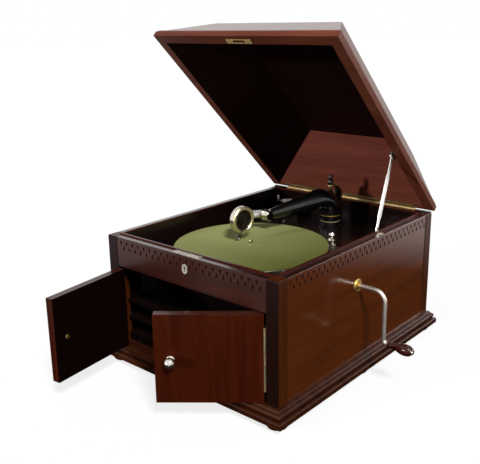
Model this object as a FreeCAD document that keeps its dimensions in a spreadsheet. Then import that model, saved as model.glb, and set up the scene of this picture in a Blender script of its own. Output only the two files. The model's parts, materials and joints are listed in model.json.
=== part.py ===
import FreeCAD, Part
import Sketcher

import math
import os
import types

# A wind-up tabletop gramophone with an internal horn, in millimetres and degrees.
# Origin on the floor under the middle of the case, front at -Y, right side at +X, +Z up.
# It stands as it was found: lid propped open, doors ajar, needle resting near the spindle.

Vector = FreeCAD.Vector
Rotation = FreeCAD.Rotation

SIZES = {
    # case
    "case_width": 417.0,
    "case_depth": 521.0,
    "case_height": 221.0,
    "wall": 20.0,
    "post_width": 24.5,
    "panel_step": 0.8,
    "bottom_thickness": 10.0,
    "foot_height": 12.0,
    "foot_radius": 20.0,
    "foot_taper": 3.0,
    "foot_inset": 7.0,
    "plinth_height": 27.0,
    "plinth_reach": 17.0,
    "plinth_cove": 5.0,
    "plinth_torus": 11.0,
    "plinth_ledge": 30.0,
    "bead_width": 4.0,
    "bead_height": 2.5,
    "opening_height": 162.0,
    # motor board and what stands on it
    "board_drop": 43.0,
    "board_thickness": 12.0,
    "bearer_width": 12.0,
    "bearer_height": 15.0,
    "shelf_length": 84.0,
    "shelf_depth": 34.5,
    "shelf_height": 23.0,
    "cup_radius": 14.0,
    "cup_depth": 14.0,
    "cup_wall": 1.0,
    "cup_lip": 2.0,
    "running_fit": 0.05,
    "slack": 0.3,
    # lid
    "lid_gap": 3.0,
    "lid_side_overhang": 5.5,
    "lid_front_overhang": 4.0,
    "lid_rim_height": 20.0,
    "lid_rim_width": 21.0,
    "lid_rear_rim": 8.0,
    "lid_rim_step": 8.0,
    "lid_height": 106.0,
    "lid_top_inset": 76.0,
    "lid_round": 40.0,
    "lid_cavity_height": 97.0,
    "lid_cavity_inset": 93.0,
    "lid_rear_slope": 98.0,
    "lid_open": 44.0,
    "lid_hinge_length": 340.0,
    "lid_knuckle_radius": 2.2,
    "lid_leaf_thickness": 1.3,
    "lid_leaf_width": 16.0,
    "lid_pin_radius": 1.0,
    # lock, keyhole and strike
    "lock_plate_length": 66.0,
    "lock_plate_width": 10.0,
    "lock_plate_thickness": 1.2,
    "lock_inset": 9.5,
    "lock_case_length": 50.0,
    "lock_case_height": 38.0,
    "lock_case_thickness": 8.0,
    "bolt_length": 24.0,
    "bolt_thickness": 4.4,
    "bolt_height": 30.0,
    "bolt_travel": 7.0,
    "strike_length": 58.0,
    "strike_margin": 2.0,
    "keyhole_z": 236.0,
    "keyhole_radius": 2.2,
    "escutcheon_width": 13.0,
    "escutcheon_height": 18.0,
    "escutcheon_thickness": 1.2,
    # lid stay
    "stay_inset": 25.5,
    "stay_reach": 192.0,
    "stay_rise": 4.0,
    "stay_thickness": 2.0,
    "stay_width": 10.0,
    "stay_neck": 6.0,
    "stay_pin_radius": 2.5,
    "stay_foot_y": 75.0,
    "stay_foot_z": 245.0,
    "guide_thickness": 3.0,
    "guide_margin": 7.0,
    # doors
    "door_thickness": 16.0,
    "door_gap": 1.5,
    "left_door_open": 82.6,
    "right_door_open": 39.3,
    "door_hinge_length": 114.0,
    "door_hinge_z": 62.5,
    "door_knuckle_radius": 2.0,
    "door_leaf_thickness": 1.0,
    "door_leaf_width": 14.0,
    "door_pin_radius": 0.9,
    "leaf_gap": 0.2,
    "knob_inset": 27.8,
    "knob_z": 120.0,
    "knob_radius": 9.5,
    # horn
    "horn_wall": 5.0,
    "throat_radius": 22.0,
    "throat_wall": 3.0,
    "throat_bend": 45.0,
    "throat_drop": 65.0,
    "mouth_setback": 50.5,
    "louvre_depth": 30.0,
    "louvre_thickness": 6.0,
    "louvre_tilt": 12.0,
    "louvre_first_z": 62.0,
    "louvre_pitch": 35.0,
    # turntable
    "spindle_x": -4.0,
    "spindle_setback": 185.5,
    "spindle_radius": 3.6,
    "spindle_show": 9.0,
    "platter_radius": 152.4,
    "platter_top": 232.0,
    "platter_skirt": 11.5,
    "platter_wall": 2.0,
    "hub_radius": 16.0,
    "felt_thickness": 2.0,
    # motor
    "plate_thickness": 4.0,
    "motor_height": 91.0,
    "motor_left": 60.0,
    "motor_right": 105.0,
    "motor_front": 85.0,
    "motor_rear": 107.0,
    "pillar_radius": 5.0,
    "pillar_inset": 8.0,
    "gear_module": 1.25,
    "barrel_teeth": 72,
    "middle_pinion_teeth": 14,
    "middle_teeth": 48,
    "spindle_pinion_teeth": 12,
    "gear_width": 4.0,
    "barrel_x": 48.0,
    "barrel_radius": 42.0,
    "barrel_height": 27.0,
    "arbor_radius": 5.0,
    "contrate_teeth": 36,
    "winding_pinion_teeth": 12,
    "worm_wheel_teeth": 40,
    "worm_radius": 4.0,
    "worm_gap": 0.4,
    "governor_drop": 27.0,
    "weight_radius": 5.5,
    "weight_reach": 9.0,
    "disc_radius": 15.0,
    # crank
    "crank_behind": 51.0,
    "crank_z": 184.0,
    "crank_rod_radius": 4.2,
    "crank_reach": 56.5,
    "crank_bend": 20.0,
    "crank_throw": 98.0,
    "crank_foot_bend": 8.0,
    "handle_length": 48.0,
    "handle_radius": 10.8,
    "handle_neck": 6.0,
    "handle_core": 3.0,
    "crank_plate_radius": 12.5,
    # tone arm
    "arm_x": 16.0,
    "arm_setback": 92.5,
    "arm_yaw": -20.5,
    "arm_base_radius": 21.5,
    "arm_base_height": 16.0,
    "arm_neck_radius": 20.0,
    "arm_neck_height": 12.0,
    "arm_collar_radius": 23.0,
    "arm_tube_radius": 22.5,
    "arm_tip_radius": 10.5,
    "arm_wall": 1.6,
    "arm_bend": 28.0,
    "arm_bend_z": 38.0,
    "arm_slope": 7.75,
    "arm_length": 158.0,
    "barrel_end_radius": 11.0,
    "barrel_end_half": 8.0,
    "barrel_skew": 14.5,
    "boss_top": 81.5,
    "bracket_reach": 37.5,
    "bracket_depth": 11.0,
    "bracket_thickness": 12.0,
    "bracket_crown": 4.5,
    "bracket_top": 94.0,
    "finial_top": 117.5,
    # gooseneck and sound box
    "neck_radius": 8.0,
    "neck_wall": 1.5,
    "neck_bend": 9.6,
    "neck_far_bend": 16.0,
    "neck_offset": 10.0,
    "neck_length": 84.3,
    "neck_tilt": 6.7,
    "box_radius": 27.0,
    "box_back": 4.3,
    "box_depth": 12.0,
    "box_wall": 2.5,
    "ring_depth": 3.0,
    "ring_inner": 20.5,
    "diaphragm_thickness": 0.6,
    "needle_lean": 13.5,
    "needle_reach": 43.4,
    "chuck_radius": 2.6,
    # brake and speed regulator
    "brake_bearing": 55.0,
    "brake_stand_off": 15.0,
    "brake_arm": 30.0,
    "brake_knob_radius": 8.5,
    "brake_height": 27.0,
    "regulator_inset": 22.5,
    "regulator_ahead": 73.0,
    "regulator_radius": 9.0,
    "regulator_height": 16.0,
}

doc = FreeCAD.newDocument("gramophone")
sheet = doc.addObject("Spreadsheet::Sheet", "Sizes")
for row, (alias, number) in enumerate(SIZES.items(), start=1):
    sheet.set(f"A{row}", alias)
    sheet.set(f"B{row}", str(number))
    sheet.setAlias(f"B{row}", alias)
doc.recompute()

nodes = []


class Size:
    """A size worked out from the sheet: its value now and the expression that keeps it bound."""

    def __init__(self, value, text):
        self.value = float(value)
        self.text = text

    def __add__(self, other):
        other = size(other)
        return Size(self.value + other.value, f"({self.text} + {other.text})")

    def __sub__(self, other):
        other = size(other)
        return Size(self.value - other.value, f"({self.text} - {other.text})")

    def __mul__(self, other):
        other = size(other)
        return Size(self.value * other.value, f"({self.text} * {other.text})")

    def __truediv__(self, other):
        other = size(other)
        return Size(self.value / other.value, f"({self.text} / {other.text})")

    def __radd__(self, other):
        return size(other) + self

    def __rsub__(self, other):
        return size(other) - self

    def __rmul__(self, other):
        return size(other) * self

    def __neg__(self):
        return Size(-self.value, f"(0 - {self.text})")


def size(item):
    if isinstance(item, Size):
        return item
    return Size(item, f"({float(item)!r})")


def root(amount):
    return Size(math.sqrt(amount.value), f"sqrt({amount.text})")


def sine(angle):
    return Size(math.sin(math.radians(angle.value)), f"sin({angle.text})")


def cosine(angle):
    return Size(math.cos(math.radians(angle.value)), f"cos({angle.text})")


s = types.SimpleNamespace(**{alias: Size(number, "Sizes." + alias) for alias, number in SIZES.items()})


def bind(item, path, amount):
    item.setExpression(path, size(amount).text)


def move(item, x=0, y=0, z=0, turn=Rotation()):
    """Give an item its place, bound to the sheet, and a fixed turn."""
    item.Placement = FreeCAD.Placement(Vector(), turn)
    for axis, amount in (("x", x), ("y", y), ("z", z)):
        bind(item, "Placement.Base." + axis, amount)
    return item


def swing(item, x, y, z, axis, angle):
    """Give an item its place and a turn about one axis, both bound to the sheet."""
    move(item, x, y, z, Rotation(axis, 1))
    bind(item, "Placement.Rotation.Angle", angle)
    return item


def flip(span, side):
    """A span along X, mirrored for the left side."""
    return span if side > 0 else (-size(span[1]), -size(span[0]))


def about(middle, half):
    return size(middle) - half, size(middle) + half


def block(name, x, y, z):
    item = doc.addObject("Part::Box", name)
    for prop, axis, span in (("Length", "x", x), ("Width", "y", y), ("Height", "z", z)):
        bind(item, prop, size(span[1]) - span[0])
        bind(item, "Placement.Base." + axis, span[0])
    return item


ALONG = {"x": Rotation(Vector(0, 1, 0), 90), "y": Rotation(Vector(1, 0, 0), -90), "z": Rotation()}


def rod(name, radius, axis, span, at, end_radius=None):
    """A cylinder or cone along one axis, at the other two coordinates."""
    item = doc.addObject("Part::Cylinder" if end_radius is None else "Part::Cone", name)
    if end_radius is None:
        bind(item, "Radius", radius)
    else:
        bind(item, "Radius1", radius)
        bind(item, "Radius2", end_radius)
    bind(item, "Height", size(span[1]) - span[0])
    place = dict(zip([other for other in "xyz" if other != axis], at))
    place[axis] = span[0]
    return move(item, place["x"], place["y"], place["z"], ALONG[axis])


def elbow(name, bend, radius, x, y, z, turn, sweep=90):
    """A part of a torus, starting on its own X axis and sweeping towards its Y axis."""
    item = doc.addObject("Part::Torus", name)
    bind(item, "Radius1", bend)
    bind(item, "Radius2", radius)
    bind(item, "Angle3", sweep)
    return move(item, x, y, z, turn)


def fuse(name, *pieces):
    item = doc.addObject("Part::MultiFuse", name)
    item.Shapes = list(pieces)
    item.Refine = True
    return item


def cut(name, base, *tools):
    item = doc.addObject("Part::Cut", name)
    item.Base = base
    item.Tool = tools[0] if len(tools) == 1 else fuse(name + "_away", *tools)
    return item


def group(name, *pieces):
    item = doc.addObject("Part::Compound", name)
    item.Links = list(pieces)
    return item


def shaped(name, shape):
    item = doc.addObject("Part::Feature", name)
    item.Shape = shape
    return item


def keep(item):
    nodes.append(item)
    return item


def outline(body, role, points):
    """A closed sketch through points; a third number makes the run to that point an arc.

    Its sign says on which side of the way the arc's centre lies: plus is left, minus right.
    """
    plane = next(feature for feature in body.Origin.OriginFeatures if feature.Role == role)
    sketch = body.newObject("Sketcher::SketchObject", body.Name + "_" + role + "_sketch")
    sketch.AttachmentSupport = [(plane, "")]
    sketch.MapMode = "FlatFace"
    count = len(points)
    ends = []
    radii = []
    for index in range(count):
        first = points[index]
        last = points[(index + 1) % count]
        start = Vector(size(first[0]).value, size(first[1]).value, 0)
        stop = Vector(size(last[0]).value, size(last[1]).value, 0)
        if len(last) == 2:
            sketch.addGeometry(Part.LineSegment(start, stop), False)
            ends.append((1, 2))
            continue
        radius = size(last[2])
        left = Vector(start.y - stop.y, stop.x - start.x, 0).normalize()
        half = (stop - start).Length / 2
        sagitta = math.sqrt(max(radius.value ** 2 - half ** 2, 0.0))
        centre = (start + stop) * 0.5 + left * math.copysign(sagitta, radius.value)
        circle = Part.Circle(centre, Vector(0, 0, 1), abs(radius.value))
        begin = math.atan2(start.y - centre.y, start.x - centre.x)
        finish = math.atan2(stop.y - centre.y, stop.x - centre.x)
        if radius.value > 0:
            sketch.addGeometry(Part.ArcOfCircle(circle, begin, finish), False)
            ends.append((1, 2))
        else:
            sketch.addGeometry(Part.ArcOfCircle(circle, finish, begin), False)
            ends.append((2, 1))
        radii.append((index, radius if radius.value > 0 else -radius))
    for index in range(count):
        after = (index + 1) % count
        sketch.addConstraint(Sketcher.Constraint("Coincident", index, ends[index][1], after, ends[after][0]))
    for index, point in enumerate(points):
        for kind, amount in (("DistanceX", point[0]), ("DistanceY", point[1])):
            amount = size(amount)
            rule = Sketcher.Constraint(kind, -1, 1, index, ends[index][0], amount.value)
            number = sketch.addConstraint(rule)
            sketch.setExpression(f"Constraints[{number}]", amount.text)
    for index, radius in radii:
        number = sketch.addConstraint(Sketcher.Constraint("Radius", index, radius.value))
        sketch.setExpression(f"Constraints[{number}]", radius.text)
    return sketch


def bulge(radius, middle, angles):
    """Points of a turned profile on a ball of this radius, at these angles above its middle."""
    return [(radius * cosine(size(angle)), middle + radius * sine(size(angle))) for angle in angles]


def turned(name, points):
    """A lathe-turned piece about Z, from (radius, height) points."""
    body = doc.addObject("PartDesign::Body", name)
    sketch = outline(body, "XZ_Plane", points)
    feature = body.newObject("PartDesign::Revolution", name + "_turning")
    feature.Profile = sketch
    feature.ReferenceAxis = (sketch, ["V_Axis"])
    feature.Angle = 360
    return body


def padded(name, role, points, length):
    """A flat outline made thick, evenly to both sides of its plane."""
    body = doc.addObject("PartDesign::Body", name)
    feature = body.newObject("PartDesign::Pad", name + "_pad")
    feature.Profile = outline(body, role, points)
    feature.SideType = "Symmetric"
    bind(feature, "Length", length)
    return body


def crossed(name, x_points, y_points, reach):
    """What a front outline and a side outline have in common: a form with mitred corners."""
    item = doc.addObject("Part::Common", name)
    item.Base = padded(name + "_front", "XZ_Plane", x_points, reach)
    item.Tool = padded(name + "_side", "YZ_Plane", y_points, reach)
    return item


def both_sides(low, high, edge):
    """A full outline from one edge profile of (offset, height) points, top to bottom."""
    right = [(size(high) + point[0], *point[1:]) for point in edge]
    left = [(size(low) - edge[-1][0], edge[-1][1])]
    for point, after in zip(reversed(edge[:-1]), reversed(edge[1:])):
        left.append((size(low) - point[0], point[1], *after[2:]))
    return right + left


# Shared places
half_w = s.case_width / 2
half_d = s.case_depth / 2
body_z = s.foot_height + s.plinth_height
rim_z = body_z + s.case_height
inner_x = half_w - s.wall
inner_y = half_d - s.wall
opening_x = half_w - s.post_width
opening_z = body_z + s.opening_height
board_z = rim_z - s.board_drop
board_under = board_z - s.board_thickness
bottom_z = body_z + s.bottom_thickness
front_y = -half_d
spindle_y = front_y + s.spindle_setback
crank_y = spindle_y + s.crank_behind
arm_y = half_d - s.arm_setback
stay_x = half_w - s.stay_inset
regulator_x = inner_x - s.regulator_inset
regulator_y = spindle_y - s.regulator_ahead
motor_front_y = spindle_y - s.motor_front
motor_rear_y = spindle_y + s.motor_rear

# Case: four corner posts, with the panels a little behind their faces so that the joints show
posts = []
for side in (-1, 1):
    for end in (-1, 1):
        post_x = flip((opening_x, half_w), side)
        post_y = flip((half_d - s.post_width, half_d), end)
        posts.append(block("post", post_x, post_y, (body_z, rim_z)))
corner_posts = keep(group("corner_posts", *posts))

panel_y = about(0, half_d - s.post_width)
panel_x = (inner_x, half_w - s.panel_step)
left_blank = block("left_side_panel", flip(panel_x, -1), panel_y, (body_z, rim_z))
keep(left_blank)
right_blank = block("right_blank", panel_x, panel_y, (body_z, rim_z))
bush_radius = s.crank_rod_radius + 3
crank_hole = rod("crank_hole", bush_radius + s.running_fit, "x", (inner_x - 1, half_w + 1),
                 (crank_y, s.crank_z))
keep(cut("right_side_panel", right_blank, crank_hole))
back_span = (inner_y, half_d - s.panel_step)
keep(block("back_panel", about(0, opening_x), back_span, (body_z, rim_z)))

# Front rail over the doors, mortised for the lock and bored for the key
lock_y = front_y + s.lock_inset
lock_floor = rim_z - s.lock_case_height
rail_blank = block("rail_blank", about(0, opening_x), (front_y + s.panel_step, front_y + s.wall),
                   (opening_z, rim_z))
lock_mortise = block("lock_mortise", about(0, s.lock_case_length / 2 + s.slack),
                     about(lock_y, s.lock_case_thickness / 2 + s.slack),
                     (lock_floor - s.slack, rim_z + 1))
key_bore = rod("key_bore", s.keyhole_radius, "y", (front_y, lock_y), (0, s.keyhole_z))
keep(cut("front_rail", rail_blank, lock_mortise, key_bore))

# Floor of the case, resting on the plinth and let in round the posts
bottom_blank = block("bottom_blank", about(0, inner_x), about(0, inner_y), (body_z, bottom_z))
keep(cut("bottom_board", bottom_blank, corner_posts))

# Plinth moulding: ovolo, torus and rounded band, mitred at the corners
torus_top = body_z - s.plinth_cove
torus_foot = torus_top - s.plinth_torus
band_round = s.plinth_reach - s.plinth_torus - 2
plinth_edge = [
    (2, body_z),
    (2 + s.plinth_cove, torus_top, -s.plinth_cove),
    (s.plinth_cove * 1.8, torus_top),
    (s.plinth_cove * 1.8, torus_foot, -s.plinth_torus * 0.55),
    (s.plinth_reach - band_round, torus_foot),
    (s.plinth_reach, torus_foot - band_round, -band_round),
    (s.plinth_reach, s.foot_height),
]
plinth_block = crossed("plinth_block", both_sides(-half_w, half_w, plinth_edge),
                       both_sides(-half_d, half_d, plinth_edge), s.case_width + s.case_depth)
plinth_hollow = block("plinth_hollow", about(0, half_w - s.plinth_ledge), about(0, half_d - s.plinth_ledge),
                      (s.foot_height - 1, body_z + 1))
keep(cut("plinth_moulding", plinth_block, plinth_hollow))

# Turned feet under the corners and the middle of each side
foot_x = half_w + s.plinth_reach - s.foot_radius - s.foot_inset
foot_y = half_d + s.plinth_reach - s.foot_radius - s.foot_inset
feet = []
for side in (-1, 1):
    for end in (-1, 0, 1):
        foot = turned("foot", [
            (0, 0),
            (s.foot_radius - s.foot_taper, 0),
            (s.foot_radius, s.foot_height * 0.35),
            (s.foot_radius, s.foot_height * 0.65),
            (s.foot_radius - s.foot_taper, s.foot_height),
            (0, s.foot_height),
        ])
        feet.append(move(foot, foot_x * side, foot_y * end, 0))
keep(group("feet", *feet))

# Bead round the inner edge of the rim, just inside the closed lid
bead_outer = block("bead_outer", about(0, inner_x + s.bead_width), about(0, inner_y + s.bead_width),
                   (rim_z, rim_z + s.bead_height))
bead_inner = block("bead_inner", about(0, inner_x), about(0, inner_y), (rim_z - 1, rim_z + s.bead_height + 1))
keep(cut("rim_bead", bead_outer, bead_inner))

# Motor board on bearers, pierced for the spindle, arm, brake and regulator
plate_x = (s.spindle_x - s.motor_left, s.spindle_x + s.motor_right)
plate_y = (motor_front_y, motor_rear_y)
corners = []
for across in (plate_x[0] + s.pillar_inset, plate_x[1] - s.pillar_inset):
    for along in (plate_y[0] + s.pillar_inset, plate_y[1] - s.pillar_inset):
        corners.append((across, along))
hub_to_brake = s.platter_radius + s.brake_stand_off
brake_x = s.spindle_x + hub_to_brake * cosine(s.brake_bearing)
brake_y = spindle_y + hub_to_brake * sine(s.brake_bearing)
brake_post_radius = s.brake_knob_radius * 0.4
regulator_shaft = s.regulator_radius / 3
arm_bore = s.throat_radius - s.throat_wall
board_blank = block("board_blank", about(0, inner_x), about(0, inner_y), (board_under, board_z))
holes = [corner_posts]
through = (board_under - 1, board_z + 1)
holes.append(rod("hole", s.hub_radius, "z", through, (s.spindle_x, spindle_y)))
holes.append(rod("hole", arm_bore, "z", through, (s.arm_x, arm_y)))
holes.append(rod("hole", brake_post_radius + s.running_fit, "z", through, (brake_x, brake_y)))
holes.append(rod("hole", regulator_shaft + s.running_fit, "z", through, (regulator_x, regulator_y)))
keep(cut("motor_board", board_blank, *holes))
bearers = []
for side in (-1, 1):
    bearers.append(block("bearer", flip((inner_x - s.bearer_width, inner_x), side),
                         (motor_front_y, panel_y[1]), (board_under - s.bearer_height, board_under)))
keep(group("board_bearers", *bearers))

# Needle shelf in the left rear corner, with its cup
shelf_y = (inner_y - s.shelf_depth, inner_y)
shelf_z = board_z + s.shelf_height
cup_x = s.shelf_length / 2 - opening_x
cup_y = inner_y - s.shelf_depth / 2 - s.cup_lip
shelf_blank = block("shelf_blank", (-opening_x, -opening_x + s.shelf_length), shelf_y, (board_z, shelf_z))
cup_seat = rod("cup_seat", s.cup_radius + s.running_fit, "z", (shelf_z - s.cup_depth, shelf_z + 1),
               (cup_x, cup_y))
keep(cut("needle_shelf", shelf_blank, cup_seat))
cup = turned("needle_cup", [
    (0, 0),
    (s.cup_radius - 2, 0),
    (s.cup_radius, 2),
    (s.cup_radius, s.cup_depth),
    (s.cup_radius + s.cup_lip, s.cup_depth),
    (s.cup_radius + s.cup_lip, s.cup_depth + s.cup_wall),
    (s.cup_radius - s.cup_wall, s.cup_depth + s.cup_wall),
    (s.cup_radius - s.cup_wall, 2 + s.cup_wall),
    (0, s.cup_wall),
])
keep(move(cup, cup_x, cup_y, shelf_z - s.cup_depth))

# Keyhole escutcheon on the front rail
round_half = s.escutcheon_width / 2
straight_half = (s.escutcheon_height - s.escutcheon_width) / 2
face_y = front_y + s.panel_step
plate_span = (face_y - s.escutcheon_thickness, face_y)
plate = fuse("key_plate",
             rod("key_plate_top", round_half, "y", plate_span, (0, s.keyhole_z + straight_half)),
             rod("key_plate_foot", round_half, "y", plate_span, (0, s.keyhole_z - straight_half)),
             block("key_plate_middle", about(0, round_half), plate_span, about(s.keyhole_z, straight_half)))
key_span = (plate_span[0] - 1, plate_span[1] + 1)
keep(cut("keyhole_escutcheon", plate,
         rod("key_round", s.keyhole_radius, "y", key_span, (0, s.keyhole_z + straight_half)),
         block("key_slot", about(0, s.keyhole_radius / 2), key_span,
               (s.keyhole_z - straight_half - 2, s.keyhole_z + straight_half))))

# Lid lock let into the front rail, and its bolt
lock_plate = block("lock_plate", about(0, s.lock_plate_length / 2), about(lock_y, s.lock_plate_width / 2),
                   (rim_z, rim_z + s.lock_plate_thickness))
lock_box = block("lock_box", about(0, s.lock_case_length / 2), about(lock_y, s.lock_case_thickness / 2),
                 (lock_floor, rim_z))
bolt_top = rim_z + s.lock_plate_thickness - 1
bolt_foot = bolt_top - s.bolt_height
bolt_slot = block("bolt_slot", about(0, s.bolt_length / 2 + s.running_fit),
                  about(lock_y, s.bolt_thickness / 2 + s.running_fit), (bolt_foot, rim_z + 5))
keep(cut("lid_lock", fuse("lock_body", lock_plate, lock_box), bolt_slot))
keep(block("lock_bolt", about(0, s.bolt_length / 2), about(lock_y, s.bolt_thickness / 2),
           (bolt_foot, bolt_top)))


# Hinges: leaves lie along +Y beside a pin along Z, one on the +X side and one on the -X side
def hinge_leaf(name, side, first, count, length, radius, pin, thickness, width):
    count = int(round(count))
    pitch = length / count
    clear = radius + s.leaf_gap * 2
    leaf_x = flip((s.leaf_gap, s.leaf_gap + thickness), side)
    pieces = [block(name + "_plate", leaf_x, (clear, width), (0, length))]
    for index in range(first, count, 2):
        span = (pitch * index + s.leaf_gap, pitch * (index + 1) - s.leaf_gap)
        pieces.append(rod(name + "_knuckle", radius, "z", span, (0, 0)))
        pieces.append(block(name + "_web", leaf_x, (0, clear + 1), span))
    bore = rod(name + "_bore", pin + s.running_fit, "z", (-1, length + 1), (0, 0))
    return cut(name, fuse(name + "_blank", *pieces), bore)


# Lid, in its own frame: hinge pin at the origin, closed, front at -Y
pin_y = half_d + s.lid_knuckle_radius + s.leaf_gap * 1.5
pin_z = rim_z + s.lid_gap / 2
under = s.lid_gap / 2
lid_half = half_w + s.lid_side_overhang
lid_back = half_d - pin_y
lid_front = -(pin_y + half_d + s.lid_front_overhang)
rim_top = under + s.lid_rim_height
lid_top = under + s.lid_height
cavity_top = under + s.lid_cavity_height
lid_span = s.case_width + s.case_depth * 2
X_AXIS = Vector(1, 0, 0)


def on_lid(item):
    return keep(swing(item, 0, pin_y, pin_z, X_AXIS, -s.lid_open))


cavity_x = lid_half - s.lid_rim_width
cavity_front = lid_front + s.lid_rim_width
cavity_back = lid_back - s.lid_rear_rim
ceiling_x = cavity_x - s.lid_cavity_inset
ceiling_front = cavity_front + s.lid_cavity_inset
ceiling_back = cavity_back - s.lid_rear_slope
below = under - 5
cavity = crossed("lid_cavity", [
    (ceiling_x, cavity_top), (cavity_x, under), (cavity_x, below),
    (-cavity_x, below), (-cavity_x, under), (-ceiling_x, cavity_top),
], [
    (ceiling_back, cavity_top), (cavity_back, under), (cavity_back, below),
    (cavity_front, below), (cavity_front, under), (ceiling_front, cavity_top),
], lid_span)

ovolo = s.lid_rim_step * 0.75
rim_edge = [
    (-s.lid_rim_step, rim_top),
    (-s.lid_rim_step / 4, rim_top - ovolo * 1.4, -ovolo * 1.5),
    (0, rim_top - ovolo * 1.4),
    (0, under),
]
rim_blank = crossed("lid_rim_blank", both_sides(-lid_half, lid_half, rim_edge),
                    both_sides(lid_front, lid_back, rim_edge), lid_span)
strike_y = lock_y - pin_y
strike_half = s.lock_plate_width / 2
bolt_pocket = block("bolt_pocket", about(0, s.bolt_length / 2 + s.strike_margin),
                    about(strike_y, s.bolt_thickness / 2 + 1), (under - 1, under + s.bolt_travel + 3))
on_lid(cut("lid_rim", rim_blank, cavity, bolt_pocket))

slope_run = s.lid_top_inset - s.lid_rim_step
slope_rise = s.lid_height - s.lid_rim_height
slope = root(slope_run * slope_run + slope_rise * slope_rise)
tangent = s.lid_round * (slope - slope_run) / slope_rise
hood_edge = [
    (-s.lid_top_inset - tangent, lid_top),
    (-s.lid_top_inset + tangent * slope_run / slope, lid_top - tangent * slope_rise / slope, -s.lid_round),
    (-s.lid_rim_step, rim_top),
]
hood = crossed("lid_hood", both_sides(-lid_half, lid_half, hood_edge),
               both_sides(lid_front, lid_back, hood_edge), lid_span)
ceiling = (about(0, ceiling_x), (ceiling_front, ceiling_back))
ceiling_opening = block("ceiling_opening", *ceiling, (cavity_top - 1, lid_top + 1))
on_lid(cut("lid_slopes", hood, cavity, ceiling_opening))
on_lid(group("lid_top_panel", block("lid_top_board", *ceiling, (cavity_top, lid_top))))

strike_plate = block("strike_blank", about(0, s.strike_length / 2), about(strike_y, strike_half),
                     (under - s.lock_plate_thickness, under))
strike_slot = block("strike_slot", about(0, s.bolt_length / 2 + s.strike_margin),
                    about(strike_y, s.bolt_thickness / 2 + 1), (under - 5, under + 1))
on_lid(cut("strike_plate", strike_plate, strike_slot))

LID_LEAF = Rotation(Vector(0, 0, 1), Vector(0, -1, 0), Vector(1, 0, 0))
lid_hinge = (7, s.lid_hinge_length, s.lid_knuckle_radius, s.lid_pin_radius, s.lid_leaf_thickness,
             s.lid_leaf_width)
lid_leaf = hinge_leaf("upper_leaf", 1, 1, *lid_hinge)
on_lid(group("lid_hinge_leaf", move(lid_leaf, -s.lid_hinge_length / 2, 0, 0, LID_LEAF)))
lower_leaf = hinge_leaf("lower_leaf", -1, 0, *lid_hinge)
case_leaves = [move(lower_leaf, -s.lid_hinge_length / 2, pin_y, pin_z, LID_LEAF)]
pins = [rod("lid_pin", s.lid_pin_radius, "x", about(0, s.lid_hinge_length / 2), (pin_y, pin_z))]

# Lid stay: a flat bar on a bracket inside the lid, its foot stud in a curved slot on the right wall
stay_pin = (-s.stay_reach, under + s.stay_rise)
open_sine = sine(s.lid_open)
open_cosine = cosine(s.lid_open)
stay_top_y = pin_y + stay_pin[0] * open_cosine + stay_pin[1] * open_sine
stay_top_z = pin_z - stay_pin[0] * open_sine + stay_pin[1] * open_cosine
fall = stay_top_z - s.stay_foot_z
lean = stay_top_y - s.stay_foot_y
stay_length = root(fall * fall + lean * lean)
closed_fall = pin_z + stay_pin[1] - s.stay_foot_z
stay_open_angle = math.degrees(math.atan2(-fall.value, -lean.value))
closed_run = math.sqrt(stay_length.value ** 2 - closed_fall.value ** 2)
stay_shut_angle = math.degrees(math.atan2(-closed_fall.value, -closed_run))
stay_ratio = (stay_shut_angle - stay_open_angle - SIZES["lid_open"]) / SIZES["lid_open"]


def stud_place(closing):
    """Where the foot stud is in Y and Z when the lid has closed by this many degrees."""
    lid = math.radians(SIZES["lid_open"] - closing)
    bar = math.radians(stay_open_angle + closing * (1 + stay_ratio))
    top_y = pin_y.value + stay_pin[0].value * math.cos(lid) + stay_pin[1].value * math.sin(lid)
    top_z = pin_z.value - stay_pin[0].value * math.sin(lid) + stay_pin[1].value * math.cos(lid)
    return Vector(0, top_y + stay_length.value * math.cos(bar), top_z + stay_length.value * math.sin(bar))


stay_neck_half = s.stay_neck / 2
stay_bar_half = s.stay_width / 2
stay_neck_length = stay_length * 0.22
stay_bar = padded("stay_bar", "YZ_Plane", [
    (-stay_neck_half, 0, stay_neck_half * 1.02),
    (-stay_neck_half, -stay_neck_length),
    (-stay_bar_half, -stay_neck_length - s.stay_neck),
    (-stay_bar_half, -stay_length + stay_neck_length + s.stay_neck),
    (-stay_neck_half, -stay_length + stay_neck_length),
    (-stay_neck_half, -stay_length),
    (stay_neck_half, -stay_length, stay_neck_half * 1.02),
    (stay_neck_half, -stay_length + stay_neck_length),
    (stay_bar_half, -stay_length + stay_neck_length + s.stay_neck),
    (stay_bar_half, -stay_neck_length - s.stay_neck),
    (stay_neck_half, -stay_neck_length),
    (stay_neck_half, 0),
], s.stay_thickness)
stay_half = s.stay_thickness / 2
guide_face = inner_x - s.guide_thickness
foot_stud = rod("foot_stud", s.stay_pin_radius, "x", (stay_half, inner_x - stay_x - s.slack),
                (0, -stay_length))
stay_eye = rod("stay_eye", s.stay_pin_radius + s.running_fit, "x", about(0, stay_half + 1), (0, 0))
stay = cut("lid_stay", fuse("stay_blank", stay_bar, foot_stud), stay_eye)
stay_lean = Size(90 + stay_open_angle, f"(-1 * atan2({lean.text}; {fall.text}))")
keep(swing(stay, stay_x, stay_top_y, stay_top_z, X_AXIS, stay_lean))

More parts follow.
